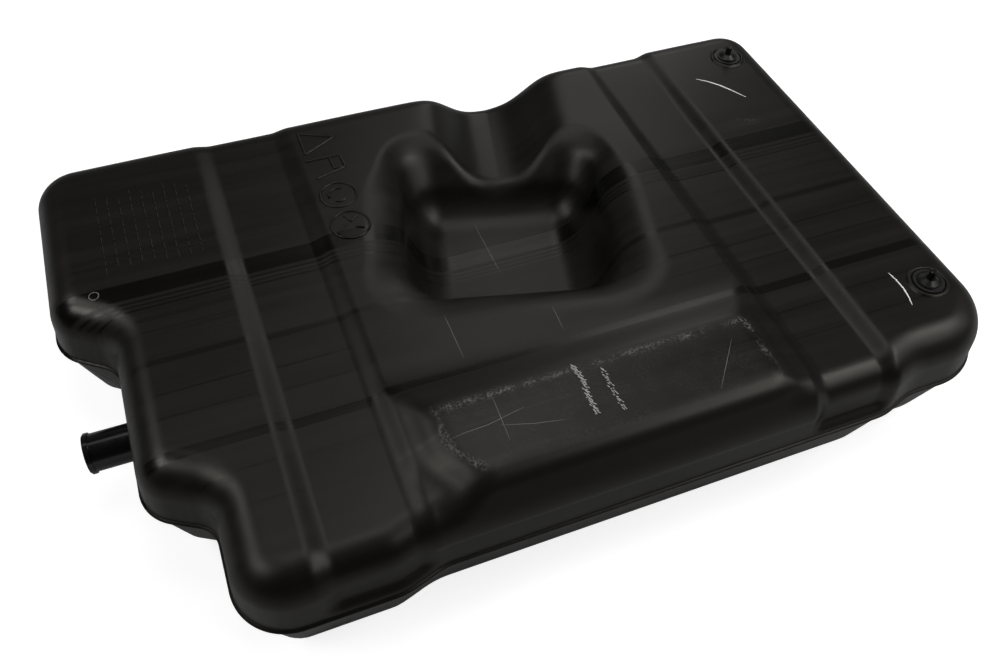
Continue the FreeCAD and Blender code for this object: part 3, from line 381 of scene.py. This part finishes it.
def base_field(x, y, z, distance):
    depth = valley_depth(x, y)
    wall = wall_field(distance, z)
    rim = RIM_RADIUS - VALLEY_RIM_SHARE * depth
    top = round_max(wall, z - DECK + depth + waviness(x, y), rim)
    return np.maximum(top, round_max(wall, -z, BASE_RADIUS))


def pad_field(x, y, z, distance):
    """The pad: its top, its flanks and, along the front, the tank's own wall."""
    field = z - PAD_TOP
    for (edge_x, edge_y), (out_x, out_y), run in PAD_FLANKS:
        across = (x - edge_x) * out_x + (y - edge_y) * out_y
        flank = (across * PAD_RISE + (z - PAD_TOP) * run) / math.hypot(PAD_RISE, run)
        field = smooth_max(field, flank, PAD_FRONT_EDGE if out_y == -1 else PAD_EDGE)
    field = smooth_max(field, wall_field(distance, z), PAD_FRONT_EDGE)
    return np.maximum(field, PAD_FOOT - z)


def channel_depth(x, y, z):
    """How far the strap channels are let into the surface."""
    depth = 0
    for centre, half, front, back in CHANNELS:
        across = smooth_step(half + CHANNEL_SLOPE, half, np.abs(x - centre))
        depth = depth + across * (front + (back - front) * smooth_step(*CHANNEL_BACK_FROM, y))
    return depth * smooth_step(*CHANNEL_END, z)


def pocket_field(x, y, z):
    """The pocket: a rounded rectangle that narrows as it goes down."""
    u, v = in_pocket_frame(x, y)
    depth = np.clip(DECK - z, 0, POCKET_DEPTH)
    side = np.interp(depth, *SIDE_PROFILE) - SIDE_PROFILE[1][0]
    behind = np.interp(depth, *BACK_PROFILE) - BACK_PROFILE[1][0]
    left, right, front, back = POCKET_SIDES
    corner = POCKET_CORNER + (FLOOR_CORNER - POCKET_CORNER) * depth / POCKET_DEPTH
    across = np.maximum(left + side - u, u - right + side)
    along = np.maximum(front + side - v, v - back + behind)
    walls = round_max(across, along, corner)
    return smooth_max(walls, DECK - POCKET_DEPTH - z, POCKET_FLOOR_EDGE)


def recess_field(x, y, z):
    """The round recesses in the hidden face: one round the delivery unit, two round the vents."""
    field = None
    for centre_x, centre_y, radius, depth, flare in RECESSES:
        across = np.hypot(x - centre_x, y - centre_y) - radius + flare * z / depth
        one = smooth_max(across, z - depth, RECESS_EDGE)
        field = one if field is None else np.minimum(field, one)
    return field


def tank_field(x, y, z, distance):
    """Negative inside the tank's outer surface."""
    field = smooth_min(base_field(x, y, z, distance), pad_field(x, y, z, distance), PAD_ROOT)
    field = field + channel_depth(x, y, z)
    field = smooth_max(field, -recess_field(x, y, z), RECESS_EDGE)
    v = in_pocket_frame(x, y)[1]
    to_side = smooth_step(*POCKET_EDGE_FRONT_END, v)
    to_back = smooth_step(*POCKET_EDGE_SIDE_END, v)
    edge = POCKET_EDGE_FRONT + (POCKET_EDGE_SIDE - POCKET_EDGE_FRONT) * to_side
    edge = edge + (POCKET_EDGE_BACK - POCKET_EDGE_SIDE) * to_back
    return smooth_max(field, -pocket_field(x, y, z), edge)


def surface_net(field, axes):
    """One vertex in each cell that the surface crosses, and a quad round each crossed edge."""
    cells = tuple(size - 1 for size in field.shape)
    total = np.zeros(cells + (3,))
    hits = np.zeros(cells)
    inside = field < 0
    for axis in range(3):
        low = [slice(None)] * 3
        high = [slice(None)] * 3
        low[axis] = slice(None, -1)
        high[axis] = slice(1, None)
        low, high = tuple(low), tuple(high)
        crossed = inside[low] != inside[high]
        step = field[high] - field[low]
        share = np.where(crossed, -field[low] / np.where(crossed, step, 1), 0)
        grids = np.meshgrid(*[axes[i][:-1] if i == axis else axes[i] for i in range(3)],
                            indexing="ij")
        grids[axis] = grids[axis] + share * np.diff(axes[axis]).reshape(
            [-1 if i == axis else 1 for i in range(3)])
        others = [i for i in range(3) if i != axis]
        for shift_a in (0, 1):
            for shift_b in (0, 1):
                window = [slice(None)] * 3
                window[others[0]] = slice(shift_a, shift_a + cells[others[0]])
                window[others[1]] = slice(shift_b, shift_b + cells[others[1]])
                window = tuple(window)
                hits += crossed[window]
                for part in range(3):
                    total[..., part] += np.where(crossed[window], grids[part][window], 0)
    active = hits > 0
    number = np.full(cells, -1)
    number[active] = np.arange(active.sum())
    points = total[active] / hits[active][:, None]
    quads = []
    for axis in range(3):
        a, b = [(1, 2), (2, 0), (0, 1)][axis]
        size = list(cells)
        near = [slice(None)] * 3
        near[a] = slice(1, size[a])
        near[b] = slice(1, size[b])
        low = list(near)
        high = list(near)
        low[axis] = slice(None, -1)
        high[axis] = slice(1, None)
        first = inside[tuple(low)]
        second = inside[tuple(high)]
        corners = []
        for back_a, back_b in ((1, 1), (0, 1), (0, 0), (1, 0)):
            window = [slice(None)] * 3
            window[a] = slice(1 - back_a, size[a] - back_a)
            window[b] = slice(1 - back_b, size[b] - back_b)
            corners.append(number[tuple(window)])
        outward = first & ~second
        inward = ~first & second
        quads.append(np.stack([corner[outward] for corner in corners], axis=1))
        quads.append(np.stack([corner[inward] for corner in corners[::-1]], axis=1))
    return points, np.concatenate(quads)


def slope(points):
    """Value of the tank's field and its gradient at points."""
    x, y, z = points.T
    reach = SLOPE_REACH
    distance = outline_distance(x, y)
    value = tank_field(x, y, z, distance)
    east = tank_field(x + reach, y, z, outline_distance(x + reach, y))
    west = tank_field(x - reach, y, z, outline_distance(x - reach, y))
    north = tank_field(x, y + reach, z, outline_distance(x, y + reach))
    south = tank_field(x, y - reach, z, outline_distance(x, y - reach))
    above = tank_field(x, y, z + reach, distance)
    below = tank_field(x, y, z - reach, distance)
    gradient = np.stack([east - west, north - south, above - below], axis=1) / (2 * reach)
    return value, gradient


def mesh_piece(name, points, faces, material, body="tank", smooth=True):
    """A mesh in millimetres as a piece that rides on a body."""
    mesh = bpy.data.meshes.new(name)
    mesh.from_pydata((np.asarray(points) * MM).tolist(), [], np.asarray(faces).tolist())
    if smooth:
        mesh.shade_smooth()
    mesh.materials.append(material)
    piece = bpy.data.objects.new(name, mesh)
    bpy.context.scene.collection.objects.link(piece)
    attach(piece, body)
    return piece


def skin(name, cell, zs, upper, material):
    """One half of the tank's outer skin, sampled on a grid and drawn onto the true surface."""
    margin = 2.3 * cell
    xs = np.arange(-HALF_LENGTH - margin, HALF_LENGTH + margin, cell)
    ys = np.arange(-HALF_WIDTH - margin, HALF_WIDTH + margin, cell)
    flat_x, flat_y = np.meshgrid(xs, ys, indexing="ij")
    distance = outline_distance(flat_x, flat_y)[:, :, None]
    field = tank_field(xs[:, None, None], ys[None, :, None], zs[None, None, :], distance)
    points, quads = surface_net(field, (xs, ys, zs))
    middle = points[quads].mean(axis=1)
    in_pocket = outline_distance(middle[:, 0], middle[:, 1]) < DEEP_INSIDE
    in_pocket &= middle[:, 2] > POCKET_FOOT
    above = in_pocket | (middle[:, 2] > SEAM)
    quads = quads[above if upper else ~above]
    used, quads = np.unique(quads, return_inverse=True)
    points, quads = points[used], quads.reshape(-1, 4)
    for step in range(PROJECTIONS):
        value, gradient = slope(points)
        length = np.maximum((gradient ** 2).sum(axis=1), LEAST_SLOPE)
        points = points - np.clip(value / length, -cell, cell)[:, None] * gradient
    value, gradient = slope(points)
    normals = gradient / np.linalg.norm(gradient, axis=1)[:, None]
    piece = mesh_piece(name, points, quads, material)
    piece.data.normals_split_custom_set_from_vertices(normals.tolist())
    layer = piece.data.attributes.new("wear", "FLOAT", "POINT")
    layer.data.foreach_set("value", wear(points))
    return piece


def wear(points):
    """Where the skin is rubbed pale: the pad's back and left edges, its top and a smudge."""
    x, y, z = points.T
    edge = np.zeros(len(points))
    for (edge_x, edge_y), (out_x, out_y), run in PAD_FLANKS:
        if out_y != -1:
            across = (x - edge_x) * out_x + (y - edge_y) * out_y
            edge = np.maximum(edge, np.exp(-((across + WEAR_INSET) / WEAR_SPREAD) ** 2))
    on_pad = smooth_step(*PAD_WORN_FROM, z)
    off_x = (x - SMUDGE_PLACE[0]) / SMUDGE_SPREAD[0]
    off_y = (y - SMUDGE_PLACE[1]) / SMUDGE_SPREAD[1]
    smudge = np.exp(-off_x ** 2 - off_y ** 2)
    return edge * on_pad * EDGE_WEAR + on_pad * TOP_WEAR + SMUDGE_WEAR * smudge


def face_height(x, y):
    """Height of the upper face at places in plan."""
    distance = outline_distance(x, y)
    low = np.full(x.shape, POCKET_FOOT)
    high = np.full(x.shape, ABOVE_ALL)
    for step in range(HALVINGS):
        middle = (low + high) / 2
        inside = tank_field(x, y, middle, distance) < 0
        low = np.where(inside, middle, low)
        high = np.where(inside, high, middle)
    return high


def evenly(line, step):
    """A line in plan at even steps."""
    line = np.array(line, float)
    lengths = np.hypot(*np.diff(line, axis=0).T)
    along = np.concatenate([[0], np.cumsum(lengths)])
    marks = np.linspace(0, along[-1], max(4, int(along[-1] / step)))
    return np.stack([np.interp(marks, along, line[:, part]) for part in (0, 1)], axis=1)


def ribs(name, lines, size, material, tapered=False):
    """Thin raised lines of a width and rise that follow the upper face."""
    width, rise = size
    points, faces = [], []
    for line in lines:
        plan = evenly(line, RIB_STEP)
        ahead = np.gradient(plan, axis=0)
        ahead /= np.linalg.norm(ahead, axis=1)[:, None]
        across = np.stack([-ahead[:, 1], ahead[:, 0]], axis=1)
        grow = np.sin(math.pi * np.linspace(0.03, 0.97, len(plan))) ** 0.5 if tapered else 1
        rows = []
        for offset, lift in RIB_PROFILE:
            place = plan + across * np.reshape(offset * width * grow, (-1, 1))
            height = face_height(place[:, 0], place[:, 1]) + lift * rise
            rows.append(np.column_stack([place, height]))
        first = len(points)
        points.extend(np.concatenate(rows))
        faces.extend(strip_faces(len(rows), len(plan), first))
    return mesh_piece(name, points, faces, material)


def strip_faces(rows, columns, first=0, closed=False):
    """Quads between neighbouring rows of points."""
    faces = []
    for row in range(rows - 1):
        for column in range(columns if closed else columns - 1):
            a = first + row * columns + column
            b = first + row * columns + (column + 1) % columns
            faces.append((a + columns, b + columns, b, a))
    return faces


def seam_lip(material):
    """The lip along the seam, all round the tank."""
    ahead = np.roll(OUTLINE, -1, axis=0) - np.roll(OUTLINE, 1, axis=0)
    ahead /= np.linalg.norm(ahead, axis=1)[:, None]
    outward = np.stack([ahead[:, 1], -ahead[:, 0]], axis=1)
    rows = [np.column_stack([OUTLINE + out * outward, np.full(len(OUTLINE), z)])
            for out, z in LIP_PROFILE]
    faces = [face[::-1] for face in strip_faces(len(rows), len(OUTLINE), closed=True)]
    return mesh_piece("seam_lip_strip", np.concatenate(rows), faces, material)


def turned(name, profile, centre, material, along="z", sides=0):
    """A turned ring; a number of sides makes it slightly many-sided."""
    angles = np.linspace(0, 2 * math.pi, TURNED_STEPS, endpoint=False)
    rows = []
    for radius, height in profile:
        swell = radius * (1 + BOSS_SWELL * np.cos(sides * angles)) if sides else radius
        first = swell * np.cos(angles) + centre[0]
        second = swell * np.sin(angles) + centre[1]
        level = np.full(len(angles), float(height))
        columns = [first, second, level] if along == "z" else [level, first, second]
        rows.append(np.column_stack(columns))
    faces = strip_faces(len(rows), TURNED_STEPS, closed=True)
    return mesh_piece(name, np.concatenate(rows), faces, material)


def circle(centre, radius, start=0, end=360):
    angles = np.radians(np.arange(start, end + 1, 5))
    return [(centre[0] + radius * math.cos(a), centre[1] + radius * math.sin(a)) for a in angles]


def moulded_marks(material):
    lines = [TRIANGLE + TRIANGLE[:1], HOOK, HOOK_TURN]
    for centre, radius in RINGS:
        lines.append(circle(centre, radius))
    for start, end in INNER_ARCS:
        lines.append(circle(RINGS[0][0], INNER_ARC_RADIUS, start, end))
    lines += [list(tick) for tick in RING_TICKS]
    return ribs("moulded_marks", lines, MARK_SIZE, material)


def text_bars(material):
    """Short bars in rows, of uneven lengths."""
    lines = []
    for row in range(BAR_ROWS):
        x = BAR_FIRST[0] + BAR_PITCH * row
        y = BAR_FIRST[1] - BAR_STAGGER * (row % 3)
        count = 0
        while y > BAR_END:
            length = 4 + 3 * ((row * 7 + count * 5) % 4)
            lines.append([(x, y), (x, y - length)])
            y -= length + BAR_GAP
            count += 1
    return ribs("moulded_text_bars", lines, BAR_SIZE, material)


def scuff_flecks(material):
    """Ragged flecks along the two rubbed lines on the pad."""
    lines = []
    for line, pitch in SCUFFS:
        for index, (x, y) in enumerate(evenly(line, pitch)):
            shift = sum(far * math.sin(pace * index) for far, pace in FLECK_SWAY)
            reach = FLECK_REACH + FLECK_VARIES * math.cos(FLECK_PACE * index)
            lines.append([(x + shift - FLECK_LEAN / 2, y + reach),
                          (x + shift + FLECK_LEAN / 2, y - reach)])
            lines.append([(x - shift, y + SHORT_FLECK * reach),
                          (x - shift + SHORT_FLECK_LEAN, y - reach)])
    return ribs("scuff_flecks", lines, FLECK_SIZE, material, tapered=True)


# Materials

def new_material(name):
    material = bpy.data.materials.new(name)
    material.use_nodes = True
    tree = material.node_tree
    return material, tree, tree.nodes["Principled BSDF"]


def link(tree, source, target):
    tree.links.new(source, target)


def maths(tree, operation, first, second):
    """A maths node over sockets or numbers."""
    node = tree.nodes.new("ShaderNodeMath")
    node.operation = operation
    for socket, value in zip(node.inputs, (first, second)):
        if isinstance(value, (int, float)):
            socket.default_value = value
        else:
            link(tree, value, socket)
    return node.outputs[0]


def noise(tree, scale, stretch=(1, 1, 1), detail=3.0):
    """Noise over the part's own coordinates, in metres."""
    place = tree.nodes.new("ShaderNodeTexCoord")
    mapping = tree.nodes.new("ShaderNodeMapping")
    mapping.inputs["Scale"].default_value = stretch
    texture = tree.nodes.new("ShaderNodeTexNoise")
    texture.inputs["Scale"].default_value = scale
    texture.inputs["Detail"].default_value = detail
    link(tree, place.outputs["Object"], mapping.inputs["Vector"])
    link(tree, mapping.outputs["Vector"], texture.inputs["Vector"])
    return texture.outputs["Fac"]


def between(tree, value, low, high, interpolation="SMOOTHSTEP"):
    """0 below the low value, 1 above the high one."""
    node = tree.nodes.new("ShaderNodeMapRange")
    node.interpolation_type = interpolation
    node.inputs["From Min"].default_value = low
    node.inputs["From Max"].default_value = high
    link(tree, value, node.inputs["Value"])
    return node.outputs["Result"]


def colour_mix(tree, share, first, second):
    node = tree.nodes.new("ShaderNodeMix")
    node.data_type = "RGBA"
    for socket, value in zip((node.inputs[6], node.inputs[7]), (first, second)):
        if isinstance(value, tuple):
            socket.default_value = (*value, 1)
        else:
            link(tree, value, socket)
    link(tree, share, node.inputs[0])
    return node.outputs[2]


def bump(tree, height, strength, depth):
    node = tree.nodes.new("ShaderNodeBump")
    node.inputs["Strength"].default_value = strength
    node.inputs["Distance"].default_value = depth
    link(tree, height, node.inputs["Height"])
    return node.outputs["Normal"]


def die_bands(tree):
    """1 inside the bands, over the part's y."""
    place = tree.nodes.new("ShaderNodeTexCoord")
    parts = tree.nodes.new("ShaderNodeSeparateXYZ")
    link(tree, place.outputs["Object"], parts.inputs["Vector"])
    wander = maths(tree, "SUBTRACT", noise(tree, 3.0), 0.5)
    wander = maths(tree, "MULTIPLY", wander, BAND_WANDER)
    along = maths(tree, "ADD", parts.outputs["Y"], wander)
    total = 0.0
    for middle, width, strength in DIE_BANDS:
        off = maths(tree, "ABSOLUTE", maths(tree, "SUBTRACT", along, middle), 0)
        outside = between(tree, off, width / 2 + BAND_FADE[0], width / 2 + BAND_FADE[1])
        inside = maths(tree, "SUBTRACT", 1.0, outside)
        total = maths(tree, "MAXIMUM", maths(tree, "MULTIPLY", inside, strength), total)
    return total


def tank_material():
    """Black polyethylene with the streaks and bands of blow moulding and rubbed places."""
    material, tree, shader = new_material("black_polyethylene")
    streaks = noise(tree, 1.0, (4, 330, 60), 4.0)
    coarse = noise(tree, 1.0, (2.5, 60, 12), 2.0)
    blotches = noise(tree, 9.0)
    grain = noise(tree, 900.0, detail=2.0)
    bands = die_bands(tree)
    rough = LEAST_ROUGHNESS
    for pattern, share in ((streaks, STREAK_ROUGHNESS), (coarse, COARSE_ROUGHNESS),
                           (blotches, BLOTCH_ROUGHNESS)):
        rough = maths(tree, "ADD", rough, maths(tree, "MULTIPLY", pattern, share))
    rough = maths(tree, "SUBTRACT", rough, maths(tree, "MULTIPLY", bands, BAND_GLOSS))
    worn = tree.nodes.new("ShaderNodeAttribute")
    worn.attribute_name = "wear"
    fine = between(tree, noise(tree, 420.0, detail=8.0), 0.42, 0.62)
    wide = between(tree, noise(tree, 55.0), 0.36, 0.62)
    ragged = maths(tree, "MULTIPLY", fine, wide)
    worn_share = maths(tree, "MULTIPLY", worn.outputs["Fac"], ragged)
    rough = maths(tree, "ADD", rough, maths(tree, "MULTIPLY", worn_share, WORN_ROUGHNESS))
    link(tree, rough, shader.inputs["Roughness"])
    shader.inputs["Specular IOR Level"].default_value = SHEEN_LEVEL
    # Painted warm tint on the reflections, standing in for warm light
    shader.inputs["Specular Tint"].default_value = WARM_LIGHT_TINT
    body = colour_mix(tree, between(tree, coarse, 0.3, 0.7), PLASTIC_DARK, PLASTIC_LIGHT)
    body = colour_mix(tree, bands, body, BAND_COLOUR)
    colour = colour_mix(tree, worn_share, body, WORN_COLOUR)
    link(tree, colour, shader.inputs["Base Color"])
    height = maths(tree, "ADD", maths(tree, "MULTIPLY", streaks, 0.6),
                   maths(tree, "MULTIPLY", grain, 0.4))
    link(tree, bump(tree, height, 0.25, 0.00025), shader.inputs["Normal"])
    return material


def grained_material(name, colour, roughness, metallic=0.0, scale=300.0, stretch=(1, 1, 1),
                     depth=0.0001):
    """A plain finish whose colour, roughness and surface vary a little."""
    material, tree, shader = new_material(name)
    shader.inputs["Metallic"].default_value = metallic
    fine = noise(tree, scale, stretch)
    wide = noise(tree, 25.0)
    darker = tuple(0.8 * part for part in colour)
    link(tree, colour_mix(tree, wide, darker, colour), shader.inputs["Base Color"])
    rough = maths(tree, "ADD", roughness - 0.07, maths(tree, "MULTIPLY", fine, 0.14))
    link(tree, rough, shader.inputs["Roughness"])
    link(tree, bump(tree, fine, 0.2, depth), shader.inputs["Normal"])
    return material


def dress(nodes, material):
    """Gives CAD nodes their finish."""
    for name in nodes:
        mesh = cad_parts[name].data
        mesh.materials.clear()
        mesh.materials.append(material)


def dress_nodes():
    both = ("back", "front")
    sides = ("left", "right")
    dress(["filler_spigot", "inlet_flap"],
          grained_material("glossy_spigot_plastic", (0.006, 0.006, 0.006), 0.17, scale=120.0))
    dress(["shield_stud_" + end for end in both] + ["push_nut_" + end for end in both],
          grained_material("blackened_steel", (0.028, 0.027, 0.026), 0.36, 0.85))
    dress(["stud_washer_" + end for end in both],
          grained_material("washer_plastic", (0.007, 0.007, 0.007), 0.4))
    dress(["lock_ring"] + ["guide_rod_" + side for side in sides],
          grained_material("zinc_plated_steel", (0.55, 0.55, 0.53), 0.36, 1.0))
    dress(["flap_pin", "flap_spring", "float_arm"] + ["rod_spring_" + side for side in sides],
          grained_material("spring_steel", (0.50, 0.50, 0.51), 0.3, 1.0, 80.0, (1, 1, 12)))
    dress(["fuel_pump"], grained_material("drawn_steel", (0.6, 0.6, 0.6), 0.28, 1.0, 60.0,
                                          (1, 1, 20)))
    dress(["connector_contacts"], grained_material("tinned_brass", (0.62, 0.50, 0.28), 0.3, 1.0))
    dress(["pump_flange", "supply_hose", "level_sender"],
          grained_material("black_moulding", (0.035, 0.035, 0.037), 0.45))
    dress(["vent_valve_" + side for side in sides],
          grained_material("grey_moulding", (0.11, 0.11, 0.115), 0.45))
    dress(["reservoir_cup"] + ["vent_float_" + side for side in sides],
          grained_material("natural_moulding", (0.72, 0.70, 0.64), 0.42))
    dress(["pump_seal", "pump_isolator"],
          grained_material("seal_rubber", (0.02, 0.02, 0.02), 0.65, scale=500.0))
    dress(["level_float"],
          grained_material("float_foam", (0.03, 0.03, 0.03), 0.85, scale=700.0, depth=0.0004))
    dress(["pump_strainer"],
          grained_material("strainer_mesh", (0.12, 0.16, 0.28), 0.7, scale=1500.0, depth=0.0005))


def make_camera():
    forward = Vector((math.sin(YAW) * math.cos(PITCH), math.cos(YAW) * math.cos(PITCH),
                      -math.sin(PITCH)))
    level = Vector((math.cos(YAW), -math.sin(YAW), 0))
    steep = forward.cross(level)
    right = level * math.cos(ROLL) + steep * math.sin(ROLL)
    down = steep * math.cos(ROLL) - level * math.sin(ROLL)
    data = bpy.data.cameras.new("camera")
    data.lens = LENS
    data.sensor_width = 36
    camera = bpy.data.objects.new("camera", data)
    turn = Matrix((right, -down, -forward)).transposed()
    camera.matrix_world = Matrix.Translation(CAMERA_PLACE) @ turn.to_4x4()
    bpy.context.scene.collection.objects.link(camera)
    bpy.context.scene.camera = camera


def floor_material():
    """White floor that the camera sees bright but for the tank's own shadow."""
    material, tree, shader = new_material("white_floor")
    shader.inputs["Base Color"].default_value = (*FLOOR_COLOUR, 1)
    shader.inputs["Roughness"].default_value = 0.9
    shader.inputs["Specular IOR Level"].default_value = 0.0
    shader.inputs["Emission Color"].default_value = (1, 1, 1, 1)
    path = tree.nodes.new("ShaderNodeLightPath")
    link(tree, maths(tree, "MULTIPLY", path.outputs["Is Camera Ray"], FLOOR_LIFT),
         shader.inputs["Emission Strength"])
    return material


def make_floor():
    mesh = bpy.data.meshes.new("floor")
    reach = 6.0
    mesh.from_pydata([(-reach, -reach, 0), (reach, -reach, 0), (reach, reach, 0),
                      (-reach, reach, 0)], [], [(0, 1, 2, 3)])
    mesh.materials.append(floor_material())
    floor = bpy.data.objects.new("floor", mesh)
    bpy.context.scene.collection.objects.link(floor)


def area_light(name, azimuth, elevation, power):
    """A soft square light on a dome over the tank; the azimuth is measured from +y towards +x."""
    turn, rise = math.radians(azimuth), math.radians(elevation)
    direction = Vector((math.sin(turn) * math.cos(rise), math.cos(turn) * math.cos(rise),
                        math.sin(rise)))
    data = bpy.data.lights.new(name, "AREA")
    data.shape = "SQUARE"
    data.size = LIGHT_SIZE
    data.energy = power
    light = bpy.data.objects.new(name, data)
    light.location = direction * LIGHT_REACH + Vector(LIGHT_TARGET)
    light.rotation_euler = (-direction).to_track_quat("-Z", "Y").to_euler()
    bpy.context.scene.collection.objects.link(light)


def make_world():
    """Dim studio with a pale band at the horizon; white where the camera sees it."""
    world = bpy.data.worlds.new("studio")
    world.use_nodes = True
    tree = world.node_tree
    background = tree.nodes["Background"]
    place = tree.nodes.new("ShaderNodeTexCoord")
    parts = tree.nodes.new("ShaderNodeSeparateXYZ")
    link(tree, place.outputs["Generated"], parts.inputs["Vector"])
    right = maths(tree, "MULTIPLY", parts.outputs["X"], WORLD_HEADING[0])
    front = maths(tree, "MULTIPLY", parts.outputs["Y"], WORLD_HEADING[1])
    ahead = between(tree, maths(tree, "ADD", right, front), *WORLD_AHEAD_FROM)
    low = maths(tree, "SUBTRACT", 1.0, between(tree, parts.outputs["Z"], *HORIZON_HEIGHT))
    level = maths(tree, "ADD", WORLD_DIM, maths(tree, "MULTIPLY", ahead, WORLD_AHEAD))
    level = maths(tree, "ADD", level, maths(tree, "MULTIPLY", low, WORLD_HORIZON))
    path = tree.nodes.new("ShaderNodeLightPath")
    level = maths(tree, "MAXIMUM", level, path.outputs["Is Camera Ray"])
    link(tree, level, background.inputs["Strength"])
    background.inputs["Color"].default_value = (1, 1, 1, 1)
    bpy.context.scene.world = world


def make_lights():
    for name, azimuth, elevation, power in LIGHTS:
        area_light(name, azimuth, elevation, power)


plastic = tank_material()
upper = skin("tank_upper_skin", UPPER_CELL,
             np.arange(SEAM - (UPPER_ROWS + 0.5) * UPPER_CELL, GRID_TOP, UPPER_CELL), True, plastic)
lower = skin("tank_lower_skin", LOWER_CELL,
             np.arange(SEAM - (LOWER_ROWS + 0.5) * LOWER_CELL, SEAM + LOWER_CELL, LOWER_CELL),
             False, plastic)
tank_pieces = [upper, lower, seam_lip(plastic), moulded_marks(plastic), text_bars(plastic)]
for end, centre in STUD_PLACES.items():
    tank_pieces.append(turned("stud_boss_" + end, STUD_BOSS, centre, plastic,
                              sides=BOSS_SIDES[end]))
tank_pieces.append(turned("spigot_boss", SPIGOT_BOSS, SPIGOT_AXIS, plastic, along="x"))
for piece in tank_pieces:
    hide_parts("tank_shell")
hair = grained_material("fresh_scratch", (0.95, 0.94, 0.92), 0.6)
pale = grained_material("pale_scratch", (0.15, 0.145, 0.14), 0.6)
ribs("long_scratches", HAIRS, HAIR_SIZE, hair, tapered=True)
ribs("fine_scratches", FINE_SCRATCHES, FINE_SIZE, pale, tapered=True)
scuff_flecks(grained_material("scuffed_plastic", (0.42, 0.405, 0.385), 0.6))
ribs("round_mark", [circle(*ROUND_MARK)], ROUND_MARK_SIZE, pale)
dress_nodes()

make_camera()
make_floor()
make_world()
make_lights()
bpy.context.scene.view_settings.view_transform = "Standard"
